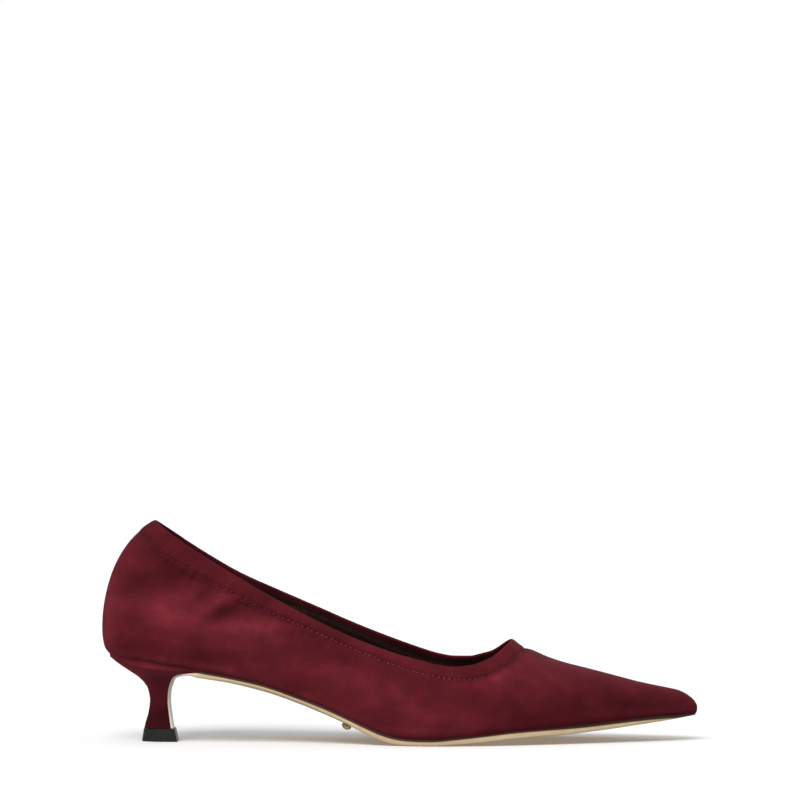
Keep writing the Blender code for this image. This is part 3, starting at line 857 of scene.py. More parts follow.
def corners(mesh):
    """Each face's points by number."""
    return [list(face.vertices) for face in mesh.polygons]


def keep_number(mesh, name, values):
    """Keeps a number on each point of the mesh for its material."""
    mesh.attributes.new(name, "FLOAT", "POINT").data.foreach_set("value", values)


def strokes(points, tables):
    """Sum of both sides' strokes at each point; they die out towards the shoe's middle line."""
    centre = (half_medial(points[:, 0]) - half_lateral(points[:, 0])) / 2
    total = np.zeros(len(points))
    for side, rows in tables.items():
        on_side = smooth_step(side * (points[:, 1] - centre) / CREST)
        for stroke in rows:
            start = np.array([stroke.x, stroke.z])
            run = np.array([stroke.to_x, stroke.to_z]) - start
            length = np.hypot(*run)
            offset = points[:, [0, 2]] - start
            along = offset @ run / length
            across = (offset[:, 1] * run[0] - offset[:, 0] * run[1]) / length
            beyond = np.maximum(np.maximum(-along, along - length), 0.0)
            total += stroke.amount * bell(np.hypot(across, beyond / STROKE_END) / stroke.width) * on_side
    return total


def band_height(away, stitch, along, x):
    """Relief of the elastic band, its stitched groove and the gathers it pulls."""
    share = np.clip(away / stitch, 0.0, 1.0)
    puff = BAND_PUFF * np.sin(pi * share) ** PUFF_POWER
    past = away - stitch
    gather = np.cos(2 * pi * (along + GATHER_SLANT * past) / STITCH_PITCH)
    groove = GROOVE_DEPTH * bell(past / GROOVE_WIDTH) - GATHER_DEPTH * gather * bell(past / GATHER_REACH)
    loose = 1 - smooth_step((x - LOOSE_END) / LOOSE_RUN)
    hollow = HOLLOW_DEPTH * loose * bell((past - HOLLOW_WIDTH) / HOLLOW_WIDTH)
    turn = 2 * pi * along
    phase = turn / PUCKER_PITCH + PUCKER_SWAY * np.sin(turn / LONG_SWAY) + np.sin(turn / SHORT_SWAY)
    reach = np.where(past < 0, share**PUCKER_POWER, np.exp(-np.maximum(past, 0.0) / PUCKER_REACH))
    pucker = PUCKER_DEPTH * (PUCKER_FRONT + (1 - PUCKER_FRONT) * loose) * reach * np.sin(phase)
    soft_back = BACK_SOFT + (1 - BACK_SOFT) * smooth_step(along / BACK_RUN)
    return (puff - groove - hollow + pucker) * soft_back


def sway(points):
    """Slow unevenness of soft suede over its lining."""
    return SWAY_DEPTH * np.array([noise.noise(Vector(point) / SWAY_SIZE) for point in points])


def swells(points, outward):
    """Gentle swells and dips of the vamp along its ridge, none on its sides."""
    heights = sum(swell.height * bell((points[:, 0] - swell.x) / swell.run) for swell in SWELLS)
    return heights * np.clip(outward[:, 2], 0.0, 1.0) ** 2


def relieved(mesh, edge):
    """Works band, gathers and creases into the upper's outer face, and keeps its nap with painted light and
    shade, with painted shade in the groove and along the feather line.
    """
    points = coordinates(mesh)
    outward = normals(mesh)
    away, x, along = edge.nearest(points)
    stitch = stitch_below(x)
    above_seat = points[:, 2] - seat_height(points[:, 0])
    free = smooth_step((above_seat - FEATHER_FADE_START) / FEATHER_FADE)
    past_band = smooth_step((away - stitch) / BAND_BLEND)
    relief = band_height(away, stitch, along, x)
    relief += (sway(points) + swells(points, outward) - strokes(points, CREASES)) * past_band
    # Nap with painted light and shade, from the strokes and along the band.
    nap_and_painted_light = strokes(points, NAP_AND_PAINTED_LIGHT) * past_band + band_nap_and_shade(x) * (1 - past_band)
    # Painted shade in the stitched groove.
    nap_and_painted_light -= GROOVE_PAINTED_SHADE * bell((away - stitch) / GROOVE_WIDTH)
    # Painted shade along the feather line, where the suede turns under into the crevice above the sole.
    nap_and_painted_light -= FEATHER_PAINTED_SHADE * (1 - smooth_step((above_seat - FEATHER_LINE) / FEATHER_RUN))
    mesh.vertices.foreach_set("co", (points + outward * (relief * free)[:, None]).ravel())
    mesh.update()
    return np.clip(nap_and_painted_light, -1.0, 1.0)


def open_edges_of(faces):
    """Edges with a face on one side only, each in its face's order."""
    directed = {pair for face in faces for pair in zip(face, face[1:] + face[:1])}
    return [pair for pair in directed if pair[::-1] not in directed]


def rolled_edge(mesh, away):
    """Points of the outer face, the inner face and a rounded rim between them, and the rim's faces."""
    points = coordinates(mesh)
    outward = normals(mesh)
    inner = points - outward * UPPER_WALL
    open_edges = open_edges_of(corners(mesh))
    rim_edges = [(a, b) for a, b in open_edges if away[a] < RIM_NEAR and away[b] < RIM_NEAR]
    lean = {}
    for a, b in rim_edges:
        sideways = np.cross(points[b] - points[a], outward[a] + outward[b])
        for corner in (a, b):
            lean[corner] = lean.get(corner, 0.0) + sideways
    places = [*points, *inner]
    rim = {}
    for corner, sideways in lean.items():
        sideways = sideways / max(np.linalg.norm(sideways), TINY) * UPPER_WALL / 2
        middle = (points[corner] + inner[corner]) / 2
        reach = points[corner] - middle
        rim[corner] = [corner]
        for turn in np.linspace(0.0, pi, RIM_STEPS + 1)[1:-1]:
            rim[corner].append(len(places))
            places.append(middle + reach * cos(turn) + sideways * sin(turn))
        rim[corner].append(corner + len(points))
    rim_faces = [
        [rim[b][k], rim[a][k], rim[a][k + 1], rim[b][k + 1]]
        for a, b in rim_edges
        for k in range(RIM_STEPS)
    ]
    return np.array(places), rim_faces


def trimmed_mesh(name, places, faces):
    """A smooth mesh of the faces and the points they use, with the numbers of those points."""
    used = sorted({corner for face in faces for corner in face})
    index = {corner: k for k, corner in enumerate(used)}
    return mesh_of(name, places[used].tolist(), [[index[corner] for corner in face] for face in faces]), used


def upper_layers(outer, edge, nap_and_painted_light):
    """The suede, folded over the rim and a little way inside, and the lining below the fold."""
    points = coordinates(outer)
    away, _, _ = edge.nearest(points)
    places, rim_faces = rolled_edge(outer, away)
    faces = corners(outer)
    fold, lined = [], []
    for face in faces:
        inner_face = [corner + len(points) for corner in face[::-1]]
        if max(away[face]) < INNER_FOLD:
            fold.append(inner_face)
        elif max(points[face, 0]) < BOTTOM_CLOSES:
            lined.append(inner_face)
    # The rim and the fold inside are darkened with painted shade.
    shades = np.full(len(places), RIM_PAINTED_SHADE)
    shades[: len(points)] = nap_and_painted_light
    shades[len(points) : 2 * len(points)] = FOLD_PAINTED_SHADE
    outside, used = trimmed_mesh("suede", places, faces + rim_faces + fold)
    keep_number(outside, "nap_and_painted_light", shades[used])
    inside, _ = trimmed_mesh("lining", places, lined)
    return outside, inside


def tint(red, green, blue):
    """A colour, or shares of one, with full cover."""
    return (red, green, blue, 1.0)


def srgb(*values):
    """Linear colour from sRGB values of 0 to 255."""
    shares = [value / 255 for value in values]
    return tint(*[c / 12.92 if c <= 0.04045 else ((c + 0.055) / 1.055) ** 2.4 for c in shares])


def feed(tree, socket, value):
    """Sets a socket, or links it where the value is a node's output."""
    if isinstance(value, bpy.types.NodeSocket):
        tree.links.new(value, socket)
    else:
        socket.default_value = value


def add_node(tree, kind, output, inputs=None, **settings):
    """The named output of a new node, with its settings made and its inputs fed."""
    node = tree.nodes.new("ShaderNode" + kind)
    for name, value in settings.items():
        setattr(node, name, value)
    for key, value in (inputs or {}).items():
        feed(tree, node.inputs[key], value)
    return node.outputs[output]


# Sockets of a Mix node for colours, which share their names with those for numbers
MIX_FACTOR, MIX_FIRST, MIX_SECOND, MIX_RESULT = 0, 6, 7, 2


class Finish:
    """A Principled material under construction."""

    def __init__(self, name):
        self.material = bpy.data.materials.new(name)
        self.material.use_nodes = True
        self.tree = self.material.node_tree
        self.place = add_node(self.tree, "TexCoord", "Object")

    def shaded(self, sockets):
        """The finished material, with the shader's sockets set or fed."""
        shader = self.tree.nodes["Principled BSDF"]
        for name, value in sockets.items():
            feed(self.tree, shader.inputs[name], value)
        return self.material

    def noise(self, size, detail=2.0, rough=0.5, stretch=None):
        """Noise whose features are about size across, drawn out along an axis that is scaled down."""
        place = self.place
        if stretch:
            place = add_node(self.tree, "Mapping", "Vector", {"Vector": place, "Scale": stretch})
        inputs = {"Vector": place, "Scale": 1 / size, "Detail": detail, "Roughness": rough}
        return add_node(self.tree, "TexNoise", "Fac", inputs)

    def along(self, start, end):
        """How far the place lies between two places along the shoe."""
        x = add_node(self.tree, "SeparateXYZ", "X", {"Vector": self.place})
        return self.span(x, -start / (end - start), (1 - start) / (end - start))

    def attribute(self, name):
        """A number kept on the mesh."""
        return add_node(self.tree, "Attribute", "Fac", attribute_name=name)

    def ramp(self, factor, *stops):
        """Colours at places of a factor."""
        node = self.tree.nodes.new("ShaderNodeValToRGB")
        elements = node.color_ramp.elements
        while len(elements) < len(stops):
            elements.new(0.5)
        for element, (position, colour) in zip(elements, stops):
            element.position = position
            element.color = colour
        feed(self.tree, node.inputs["Fac"], factor)
        return node.outputs["Color"]

    def mix(self, factor, first, second, blend="MIX"):
        """Two colours mixed by a factor."""
        inputs = {MIX_FACTOR: factor, MIX_FIRST: first, MIX_SECOND: second}
        return add_node(self.tree, "Mix", MIX_RESULT, inputs, data_type="RGBA", blend_type=blend)

    def product(self, colour, *shades):
        """A colour multiplied by each of the shades."""
        for shade in shades:
            colour = self.mix(1.0, colour, shade, "MULTIPLY")
        return colour

    def span(self, factor, low, high):
        """A factor of 0 to 1 stretched to a range."""
        inputs = {0: factor, 1: high - low, 2: low}
        return add_node(self.tree, "Math", "Value", inputs, operation="MULTIPLY_ADD")

    def bump(self, height, depth, strength, **before):
        """A bump whose full height is depth, on top of another one if Normal gives it."""
        inputs = {"Height": height, "Distance": depth, "Strength": strength, **before}
        return add_node(self.tree, "Bump", "Normal", inputs)


def suede():
    """Burgundy suede: brushed patches, cloudy mottling, and a kept number that makes it lighter or darker,
    partly its nap and partly painted light and shade.
    """
    finish = Finish("burgundy_suede")
    patches = finish.noise(24 * MM, detail=3.0, rough=0.55)
    clouds = finish.noise(5 * MM, detail=5.0, rough=0.62, stretch=(0.6, 1.0, 1.0))
    pile = finish.noise(0.5 * MM, detail=3.0, rough=0.7)
    # The kept number carries the nap together with painted light and shade.
    nap_and_light_level = finish.span(finish.attribute("nap_and_painted_light"), 0.5, 1.0)
    darker, lighter = tint(0.42, 0.34, 0.34), tint(1.85, 2.35, 2.2)
    brushed = finish.ramp(patches, (0.30, srgb(83, 21, 30)), (0.70, srgb(108, 30, 40)))
    nap_and_light_tone = finish.ramp(nap_and_light_level, (0.0, darker), (0.5, WHITE), (1.0, lighter))
    cloudy = finish.ramp(clouds, (0.30, tint(0.86, 0.84, 0.84)), (0.70, tint(1.14, 1.16, 1.16)))
    fibres = finish.ramp(pile, (0.25, tint(0.78, 0.76, 0.76)), (0.75, tint(1.20, 1.22, 1.22)))
    soft = finish.bump(clouds, 0.4 * MM, 0.2)
    return finish.shaded({
        "Base Color": finish.product(brushed, nap_and_light_tone, cloudy, fibres),
        "Roughness": finish.span(clouds, 0.86, 1.0),
        "Specular IOR Level": 0.12,
        "Sheen Weight": 0.05,
        "Sheen Roughness": 0.45,
        "Sheen Tint": srgb(190, 92, 102),
        "Normal": finish.bump(pile, 0.22 * MM, 0.6, Normal=soft),
    })


def thread(name, shades):
    """Matt twisted thread between two shades, darkened by painted shade towards the back and the throat."""
    finish = Finish(name)
    twist = finish.noise(0.25 * MM, detail=1.0)
    strand = finish.ramp(twist, (0.3, srgb(*shades[0])), (0.7, srgb(*shades[1])))
    place = finish.along(THREAD_BACK, THREAD_FRONT)
    # Painted shade: the thread darkens towards the back and the throat, where the stitches sink into the
    # gathered groove.
    painted_shade = finish.ramp(place, *[(stop, tint(share, share, share)) for stop, share in THREAD_PAINTED_SHADE])
    return finish.shaded({
        "Base Color": finish.product(strand, painted_shade),
        "Roughness": 0.6,
        "Specular IOR Level": 0.3,
        "Normal": finish.bump(twist, 0.05 * MM, 0.5),
    })


def lining():
    """Dark smooth lining leather with a fine pebble."""
    finish = Finish("lining_leather")
    cast = finish.noise(22 * MM, detail=3.0)
    grain = finish.noise(0.9 * MM, detail=3.0, rough=0.6)
    return finish.shaded({
        "Base Color": finish.ramp(cast, (0.3, srgb(31, 12, 10)), (0.7, srgb(42, 17, 15))),
        "Roughness": finish.span(grain, 0.62, 0.8),
        "Specular IOR Level": 0.15,
        "Normal": finish.bump(grain, 0.12 * MM, 0.5),
    })


def sole_leather():
    """Natural tan sole leather: fibre streaks, faint pores and a light polish."""
    finish = Finish("tan_sole_leather")
    cast = finish.noise(30 * MM, detail=3.0)
    streaks = finish.noise(1.6 * MM, detail=3.0, stretch=(0.12, 1.0, 1.0))
    pores = finish.noise(0.5 * MM, detail=2.0, rough=0.6)
    hide = finish.ramp(cast, (0.3, srgb(228, 196, 157)), (0.7, srgb(241, 214, 175)))
    fibre = finish.ramp(streaks, (0.3, tint(0.88, 0.86, 0.83)), (0.7, tint(1.05, 1.05, 1.05)))
    pale = finish.mix(finish.attribute("cream"), finish.product(hide, fibre), srgb(250, 240, 226))
    return finish.shaded({
        # The sole's top edge is browned, part stain and part painted shade of the crevice, and its tread is
        # darkened with painted contact shade.
        "Base Color": finish.mix(finish.attribute("stain_and_painted_shade"), pale, srgb(58, 29, 13)),
        "Roughness": finish.span(streaks, 0.42, 0.62),
        "Specular IOR Level": 0.25,
        "Coat Weight": 0.05,
        "Coat Roughness": 0.35,
        "Normal": finish.bump(pores, 0.06 * MM, 0.4),
    })


def tip_rubber():
    """Black moulded rubber with a satin skin."""
    finish = Finish("black_tip_rubber")
    grain = finish.noise(0.35 * MM, detail=2.0)
    dust = finish.noise(5 * MM, detail=3.0)
    return finish.shaded({
        "Base Color": finish.ramp(dust, (0.3, srgb(18, 18, 15)), (0.75, srgb(29, 29, 25))),
        "Roughness": finish.span(grain, 0.42, 0.62),
        "Specular IOR Level": 0.25,
        "Normal": finish.bump(grain, 0.04 * MM, 0.5),
    })


def stud_metal():
    """Antique brass, darker in patches, with a satin polish."""
    finish = Finish("antique_brass")
    patina = finish.noise(1.2 * MM, detail=3.0)
    return finish.shaded({
        "Base Color": finish.ramp(patina, (0.3, srgb(128, 100, 70)), (0.7, srgb(176, 146, 108))),
        "Roughness": finish.span(patina, 0.28, 0.45),
        "Metallic": 1.0,
    })


def floor_white():
    """Plain matt studio floor."""
    return Finish("studio_floor").shaded({
        "Base Color": tint(FLOOR_SHADE, FLOOR_SHADE, FLOOR_SHADE),
        "Roughness": 1.0,
        "Specular IOR Level": 0.0,
        "Emission Color": WHITE,
        "Emission Strength": FLOOR_GLOW,
    })


def add_object(name, data):
    """A new object in the scene."""
    thing = bpy.data.objects.new(name, data)
    bpy.context.scene.collection.objects.link(thing)
    return thing


def add_piece(name, mesh, material, slot, *nodes):
    """A piece of the shoe that rides on its one body and stands for the named CAD nodes."""
    mesh.name = name
    mesh.materials.append(material)
    piece = add_object(name, mesh)
    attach(piece, "root")
    if nodes:
        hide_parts(*nodes)
    return piece


def crossing(points, depths):
    """Where a polyline first crosses from a negative depth to a positive one."""
    k = int(np.argmax(depths >= 0))
    share = -depths[k - 1] / (depths[k] - depths[k - 1])
    return points[k - 1] + (points[k] - points[k - 1]) * share


def stitch_path(rows, edge):
    """Points where a side's sections, and the ridge in front of the throat, cross the stitch line."""
    away, x, _ = edge.nearest(rows)
    past = away - stitch_below(x)
    crossed = past[:, -1] < 0
    path = [crossing(points, depths) for points, depths in zip(rows[crossed, ::-1], past[crossed, ::-1])]
    on_ridge = rows[:, -1, 0] >= THROAT
    path.append(crossing(rows[on_ridge, -1], past[on_ridge, -1]))
    return np.array(path)


def capsule():
    """Points and faces of one stitch lying along X."""
    points, faces = [], []
    for ring in range(STITCH_RINGS + 1):
        turn = pi * ring / STITCH_RINGS
        along = -cos(turn) * STITCH_LENGTH / 2
        radius = STITCH_RADIUS * sqrt(max(sin(turn), STITCH_END))
        for side in range(STITCH_SIDES):
            angle = 2 * pi * side / STITCH_SIDES
            points.append((along, radius * cos(angle), radius * sin(angle)))
    for ring in range(STITCH_RINGS):
        for side in range(STITCH_SIDES):
            a = ring * STITCH_SIDES + side
            b = ring * STITCH_SIDES + (side + 1) % STITCH_SIDES
            faces.append((a, b, b + STITCH_SIDES, a + STITCH_SIDES))
    faces.append(tuple(range(STITCH_SIDES))[::-1])
    faces.append(tuple(STITCH_RINGS * STITCH_SIDES + side for side in range(STITCH_SIDES)))
    return points, faces


def stitches(name, paths, outer, sunk):
    """Every stitch of the topline at a depth under the upper's outer face, as one mesh."""
    surface = BVHTree.FromPolygons([tuple(point) for point in coordinates(outer)], corners(outer))
    shape, shape_faces = capsule()
    points, faces = [], []
    for path in paths:
        count = round(path_lengths(path[None])[0, -1] / STITCH_PITCH)
        shares = (np.arange(count) + 0.5) / count
        middles = resample(path[None], shares[None])[0]
        ahead = resample(path[None], np.minimum(shares + STITCH_AHEAD / count, 1.0)[None])[0]
        for middle, onward in zip(middles, ahead):
            spot, up, _, _ = surface.find_nearest(Vector(middle))
            direction = Vector(onward - middle)
            direction = (direction - up * direction.dot(up)).normalized()
            turn = Matrix((direction, up.cross(direction), up)).transposed()
            start = len(points)
            points.extend(tuple(spot - up * sunk + turn @ Vector(point)) for point in shape)
            faces.extend(tuple(start + k for k in face) for face in shape_faces)
    return mesh_of(name, points, faces)


def make_upper(suede_finish, lining_finish):
    """The suede upper with its band and creases, its lining and its topline stitches."""
    flat = {side: upper_rows(side) for side in (LATERAL, MEDIAL)}
    flat_edge = Edge(flat)
    rows = {side: throat_lift(flat[side], flat_edge.nearest(flat[side])[0]) for side in flat}
    edge = Edge(rows)
    outer = grid_mesh("upper_outer", [(rows[side], side == MEDIAL) for side in rows])
    outside, inside = upper_layers(outer, edge, relieved(outer, edge))
    add_piece("upper_suede", outside, suede_finish, "suede", "upper")
    add_piece("upper_lining", inside, lining_finish, "lining")
    paths = [stitch_path(rows[side], edge) for side in rows]
    for name, depth, shades, slot in (
        ("topline_stitches", STITCH_SUNK, THREAD_OUTSIDE, "suede"),
        ("lining_stitches", UPPER_WALL, THREAD_INSIDE, "lining"),
    ):
        add_piece(name, stitches(name, paths, outer, depth), thread(name + "_thread", shades), slot)
    bpy.data.meshes.remove(outer)


def inner_reach(cuts, rise):
    """Reach of the upper's inner face at a height above the seat, less a clearance, for each section."""
    dips = np.linspace(pi / 2, 0.0, SAMPLES)[None, :]
    outer = np.stack(under_point(cuts, dips), axis=-1)
    along = np.gradient(outer, axis=1)
    along /= np.maximum(np.linalg.norm(along, axis=-1, keepdims=True), TINY)
    face = outer + np.stack([-along[..., 1], along[..., 0]], axis=-1) * (UPPER_WALL + GAP)
    heights = cuts.seat[:, 0] + rise
    reach = [np.interp(height, line[:, 1], line[:, 0]) for height, line in zip(heights, face)]
    return np.array(reach)[:, None]


def make_sock(lining_finish):
    """The insole with its sock lining, soft at the edge and slightly crowned."""
    bottom = UPPER_WALL + INSOLE_GAP
    shoulder = bottom + INSOLE_SHOULDER * INSOLE_THICKNESS
    layers = [(bottom, 0.0), (shoulder, 0.0), (bottom + INSOLE_THICKNESS, INSOLE_BEVEL)]
    walls = {}
    for side in (LATERAL, MEDIAL):
        cuts = sections(side)
        cuts = Sections(*[field[cuts.x[:, 0] < INSOLE_TIP - TINY] for field in cuts])
        close = round_end(cuts.x, INSOLE_TIP, INSOLE_ROUND)
        ends = []
        for rise, inset in layers:
            reach = (inner_reach(cuts, rise) - INSOLE_EASE - inset) * close
            end = in_space(cuts, reach, 0.0)[:, 0]
            end[:, 2] = seat_height(end[:, 0]) + rise
            ends.append(end)
        walls[side] = np.stack(ends, axis=1)
    shares = np.linspace(0.0, 1.0, SOCK_ACROSS + 1)[None, :, None]
    lower, upper = [
        walls[LATERAL][:, layer, None] * (1 - shares) + walls[MEDIAL][:, layer, None] * shares
        for layer in (0, -1)
    ]
    upper[..., 2] += INSOLE_CROWN * (1 - (2 * shares[..., 0] - 1) ** INSOLE_CROWN_POWER)
    front = np.stack([lower[-1], upper[-1]], axis=1)
    grids = [(upper, False), (lower, True), (walls[LATERAL], False), (walls[MEDIAL], True), (front, True)]
    add_piece("sock_lining", grid_mesh("sock", grids, closed=True), lining_finish, "lining", "insole")


def heel_level(position):
    """A level of the heel at a fractional place in its table."""
    places = range(len(HEEL))
    return Level(*[float(curve_through(places, values)(position)) for values in zip(*HEEL)])


SolePlace = namedtuple("SolePlace", "top_x top_z down_x down_z lateral medial thickness crown")


def breast_places():
    """The outsole's flap, from the tip up the front of the heel to the waist."""
    half_rows = np.linspace(len(HEEL) - 1, 1, 2 * len(HEEL) - 3)
    levels = [heel_level(position) for position in half_rows]
    line = np.array([(level.front_x, level.front_z) for level in levels])
    along = np.gradient(line, axis=0)
    along /= np.linalg.norm(along, axis=1, keepdims=True)
    front = np.stack([along[:, 1], -along[:, 0]], axis=1)
    # The foot of the flap faces straight forward
    front[0] = (1.0, 0.0)
    for level, spot, normal in zip(levels, line, front):
        half = level.half - FLAP_INSET
        top = spot + normal * FLAP_FIT
        yield SolePlace(*top, *normal, -half, half, FLAP_THICKNESS, FLAP_CROWN)


def sole_top(x):
    """Height of the sole's upper edge, lapped a little over the feather line."""
    return seat_height(x) + SOLE_LAP * smooth_step((SOLE_TIP - x) / LAP_RUN)


def sole_outline(x):
    """The sole's middle and half width at a place along it."""
    lateral = half_lateral(x) - SOLE_INSET
    medial = half_medial(x) - SOLE_INSET
    return (medial - lateral) / 2, (medial + lateral) / 2


def sole_places():
    """The outsole's waist and forepart, from the heel to the toe."""
    nose_start = SOLE_TIP - SOLE_ROUND
    straight = np.arange(x_at(SOLE[0].along), nose_start, SOLE_STEP)
    turns = np.linspace(0.0, pi / 2, SOLE_NOSE_STEPS + 1)
    for x in [*straight, *(nose_start + SOLE_ROUND * np.sin(turns))]:
        close = round_end(x, SOLE_TIP, SOLE_ROUND)
        centre, half = sole_outline(x)
        half *= close
        top = sole_top(x)
        thickness = top - seat_height(x) + GAP + sole_thickness(x)
        yield SolePlace(x, top, 0.0, -1.0, centre - half, centre + half, thickness, sole_crown(x) * close)


def sole_tones(mesh):
    """Keeps how brown the sole's top edge is (part stain, part painted shade of the crevice), the painted
    contact shade of its tread, and how pale its flap is.
    """
    spots = coordinates(mesh)
    x = spots[:, 0]
    depth = BURNISH_AND_SHADE_DEPTH + BURNISH_AND_SHADE_MORE * smooth_step((x - MORE_START) / MORE_RUN)
    on_sole = smooth_step((x - BURNISH_AND_SHADE_START) / BURNISH_AND_SHADE_RUN)
    on_edge = smooth_step((normals(mesh)[:, 2] - FACES_DOWN) / FACES_RUN)
    # Brown top edge: part stain, part painted shade of the crevice under the upper.
    brown = on_sole * on_edge * (1 - smooth_step((sole_top(x) - spots[:, 2] - depth) / BURNISH_AND_SHADE_FADE))
    # Painted contact shade on the tread.
    painted_shade = TREAD_PAINTED_SHADE * bell((x - TREAD_MIDDLE) / TREAD_RUN)
    keep_number(mesh, "stain_and_painted_shade", np.maximum(brown, painted_shade))
    keep_number(mesh, "cream", 1 - smooth_step((x - CREAM_END) / CREAM_RUN))


def make_outsole(leather):
    """The leather outsole, one strip from the toe along the arch and down the heel's breast."""
    places = np.array([tuple(place) for place in [*breast_places(), *sole_places()]], float)
    along = path_lengths(np.pad(places[:, :2], ((0, 0), (0, 1)))[None])[0]
    nose = along[-(SOLE_NOSE_STEPS + 1 + BEHIND_NOSE) :]
    fine = np.unique(np.concatenate([np.arange(0.0, along[-1], PATH_STEP), nose]))
    fields = SolePlace(*[curve_through(along, field)(fine)[:, None] for field in places.T])
    middle = (fields.lateral + fields.medial) / 2
    half = (fields.medial - fields.lateral) / 2

    def points(across, depth):
        """Points of the strip at places across it and depths under its top."""
        x = fields.top_x + fields.down_x * depth
        z = fields.top_z + fields.down_z * depth
        return np.stack(np.broadcast_arrays(x, middle + across, z), axis=-1)

    inset = np.array([edge.inset for edge in SOLE_EDGE])[None, :]
    edge_depth = fields.thickness * np.array([edge.share for edge in SOLE_EDGE])[None, :]
    out = np.maximum(half - inset, 0.0)
    shares = np.linspace(-1.0, 1.0, ACROSS_STEPS + 1)[None, :]
    top = points(out[:, :1] * shares, 0.0)
    bottom = points(out[:, -1:] * shares, fields.thickness + fields.crown * (1 - shares**2))
    heel_end, toe_end = [np.stack([top[k], bottom[k]], axis=1) for k in (0, -1)]
    grids = [
        (top, False),
        (bottom, True),
        (points(-out, edge_depth), True),
        (points(out, edge_depth), False),
        (heel_end, False),
        (toe_end, True),
    ]
    mesh = grid_mesh("sole", grids, closed=True)
    mesh.set_sharp_from_angle(angle=SOLE_CORNER)
    sole_tones(mesh)
    add_piece("outsole_leather", mesh, leather, "sole_leather", "outsole")


def half_ring(back_x, front_x, half, power):
    """Plan of a heel level: a rounded back between two square front corners."""
    turns = np.linspace(0.0, pi, RING_STEPS + 1)
    along = np.abs(np.sin(turns)) ** (2 / power)
    across = np.sign(np.cos(turns)) * np.abs(np.cos(turns)) ** (2 / power)
    return front_x + (back_x - front_x) * along, -half * across


def loft_mesh(name, rings):
    """A closed body through rings whose first and last points are the front corners."""
    rings = np.asarray(rings)
    closed = np.concatenate([rings, rings[:, :1]], axis=1)
    pairs = RING_STEPS // 2 + 1
    caps = [np.stack([ring[:pairs], ring[::-1][:pairs]], axis=1) for ring in (rings[0], rings[-1])]
    mesh = grid_mesh(name, [(closed, True), (caps[0], True), (caps[1], False)])
    mesh.set_sharp_from_angle(angle=HEEL_CORNER)
    return mesh


def upper_underside(x, y):
    """Height of the upper's turned-under face over places in plan round the heel."""
    heights = []
    for place_x, place_y in zip(x, y):
        side = MEDIAL if place_y > 0 else LATERAL
        if place_x < HEEL_AXIS:
            turn = np.arctan2(abs(place_y) / half_lateral(HEEL_AXIS), (HEEL_AXIS - place_x) / HEEL_RADIUS)
            cuts = heel_sections(side, np.array([turn]))
        else:
            cuts = cross_sections(side, np.array([place_x]))
        reach = np.hypot(place_x - cuts.axis_x, place_y - cuts.axis_y)
        share = np.clip((reach - cuts.length + cuts.tuck) / (cuts.swell + cuts.tuck), 0.0, 1.0)
        dip = np.arccos(share ** (cuts.power / 2))
        heights.append(float(under_point(cuts, dip)[1][0]))
    return np.array(heights)


def make_heel(suede_finish):
    """The covered heel, from the seat's outline through a slim stem to the tip."""
    rings = []
    for position in np.linspace(0, len(HEEL) - 1, HEEL_STEPS + 1):
        level = heel_level(position)
        power = SEAT_POWER + (STEM_POWER - SEAT_POWER) * smooth_step(position / STEM_ROW)
        x, y = half_ring(level.back_x, level.front_x, level.half, power)
        share = (x - level.front_x) / (level.back_x - level.front_x)
        height = level.front_z + (level.back_z - level.front_z) * share
        if position == 0:
            height = upper_underside(x, y) - SEAT_FIT
        rings.append(np.stack([x, y, height], axis=1))
    mesh = loft_mesh("heel", rings)
    # The heel's kept number is painted light and shade: lighter near the seat, darker towards the foot and on
    # the front wedge.
    spots = coordinates(mesh)
    wedge = smooth_step((spots[:, 0] - WEDGE_START) / WEDGE_RUN)
    keep_number(mesh, "nap_and_painted_light", np.clip(heel_painted_light(spots[:, 2]) - WEDGE_PAINTED_SHADE * wedge, -1.0, 1.0))
    add_piece("heel_cover", mesh, suede_finish, "heel_suede", "heel")


def make_tip():
    """The rubber top piece, flared towards the floor, with softened edges."""
    rings = []
    for share in np.linspace(0.0, 1.0, TIP_RINGS):
        x, y = half_ring(*(TIP_TOP_PLAN + (TIP_FOOT_PLAN - TIP_TOP_PLAN) * share), TIP_POWER)
        rings.append(np.stack([x, y, TIP_TOP * (1 - share) + 0 * x], axis=1))
    tip = add_piece("rubber_tip", loft_mesh("tip", rings), tip_rubber(), "tip_rubber", "heel_tip")
    soft = tip.modifiers.new("soft_edges", "BEVEL")
    soft.width = TIP_BEVEL
    soft.segments = TIP_BEVEL_STEPS
    soft.angle_limit = HEEL_CORNER


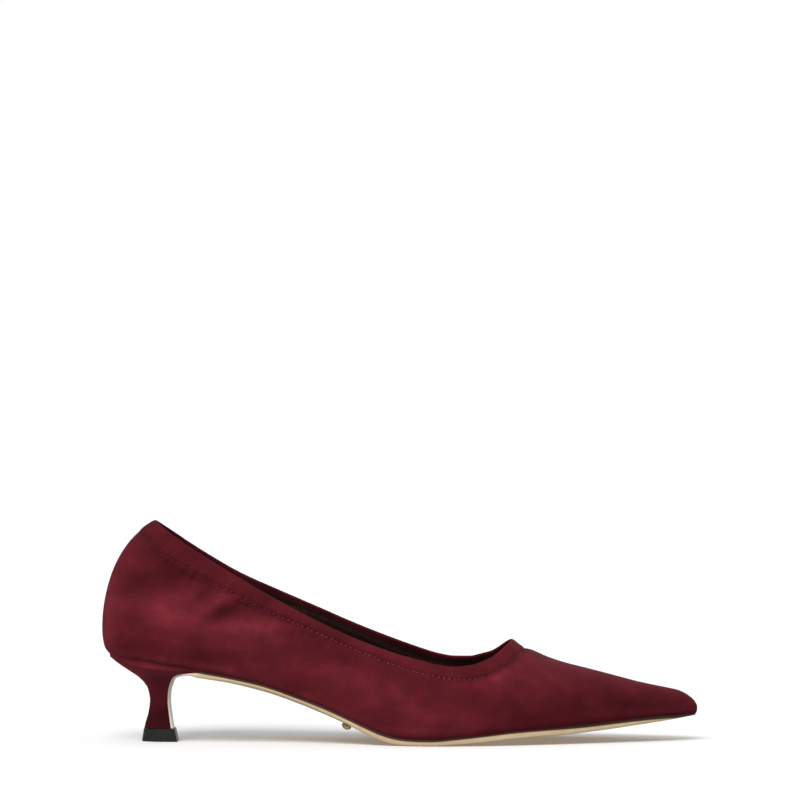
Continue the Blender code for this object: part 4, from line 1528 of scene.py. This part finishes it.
def make_stud():
    """A plain domed stud with a rolled rim, square on the slope of the waist."""
    centre, half = sole_outline(STUD_X)
    across = centre - half + STUD_FROM_EDGE
    share = (across - centre) / half

    def underside(x):
        """Height of the sole's underside along the stud's line."""
        return seat_height(x) - GAP - sole_thickness(x) - sole_crown(x) * (1 - share * share)

    slope = (underside(STUD_X + STUD_RADIUS) - underside(STUD_X - STUD_RADIUS)) / (2 * STUD_RADIUS)
    up = Vector((-slope, 0.0, 1.0)).normalized()
    turns = np.linspace(0.0, pi / 2, STUD_RINGS + 1)
    radii = [0.0, STUD_FOOT * STUD_RADIUS, STUD_RADIUS, *(STUD_RADIUS * np.cos(turns))]
    depths = [0.0, 0.0, STUD_LIP, *(STUD_RIM + STUD_DOME * np.sin(turns))]
    angles = np.linspace(0.0, 2 * pi, STUD_SIDES + 1)
    rows = [
        np.stack([radius * np.cos(angles), radius * np.sin(angles), 0 * angles - depth], axis=1)
        for radius, depth in zip(radii, depths)
    ]
    mesh = grid_mesh("stud", [(np.array(rows), False)])
    spot = Vector((STUD_X, across, underside(STUD_X))) - up * (GAP / 2)
    mesh.transform(Matrix.Translation(spot) @ up.to_track_quat("Z", "Y").to_matrix().to_4x4())
    add_piece("stud", mesh, stud_metal(), "stud_metal", "sole_stud")


def make_floor():
    """A plain pale floor that takes shadows; it throws no light back up at the shoe."""
    mesh = bpy.data.meshes.new("floor")
    outline = [(-1, -1), (1, -1), (1, 1), (-1, 1)]
    mesh.from_pydata([(x * FLOOR_REACH, y * FLOOR_REACH, 0.0) for x, y in outline], [], [(0, 1, 2, 3)])
    mesh.materials.append(floor_white())
    floor = add_object("floor", mesh)
    floor.visible_diffuse = False


def make_backdrop():
    """A white backdrop for the camera, and a dimmer light from all round, less of it from below."""
    world = bpy.data.worlds.new("studio")
    world.use_nodes = True
    tree = world.node_tree
    direction = add_node(tree, "TexCoord", "Generated")
    strength = add_node(tree, "MapRange", "Result", {
        "Value": add_node(tree, "SeparateXYZ", "Z", {"Vector": direction}),
        "From Min": -AMBIENT_BLEND,
        "From Max": AMBIENT_BLEND,
        "To Min": AMBIENT_BELOW,
        "To Max": AMBIENT_ABOVE,
    })
    ambient = tree.nodes["Background"]
    feed(tree, ambient.inputs["Color"], WHITE)
    feed(tree, ambient.inputs["Strength"], strength)
    white = add_node(tree, "Background", "Background", {"Color": WHITE})
    seen = add_node(tree, "LightPath", "Is Camera Ray")
    choice = add_node(tree, "MixShader", "Shader", {0: seen, 1: ambient.outputs["Background"], 2: white})
    feed(tree, tree.nodes["World Output"].inputs["Surface"], choice)
    bpy.context.scene.world = world


def make_lights():
    """Broad soft light from the studio's lamps."""
    for lamp in LAMPS:
        light = bpy.data.lights.new(lamp.name, "SUN")
        light.energy = lamp.strength
        light.angle = lamp.softness
        light.use_shadow = lamp.shadow
        source = add_object(lamp.name, light)
        source.rotation_euler = (-Vector(lamp.towards)).to_track_quat("-Z", "Y").to_euler()


def make_camera():
    """The photograph's level view of the outer side."""
    camera = bpy.data.cameras.new("camera")
    camera.sensor_width = SENSOR
    camera.lens = SENSOR * CAMERA_DISTANCE / VIEW_WIDTH
    camera.clip_end = 2 * FLOOR_REACH
    view = add_object("camera", camera)
    view.location = (0.0, -CAMERA_DISTANCE, CAMERA_HEIGHT)
    view.rotation_euler = (radians(90), 0.0, 0.0)
    bpy.context.scene.camera = view
    bpy.context.scene.view_settings.view_transform = "Standard"


burgundy = suede()
dark_lining = lining()
make_upper(burgundy, dark_lining)
make_sock(dark_lining)
make_outsole(sole_leather())
make_heel(burgundy)
make_tip()
make_stud()
make_floor()
make_backdrop()
make_lights()
make_camera()
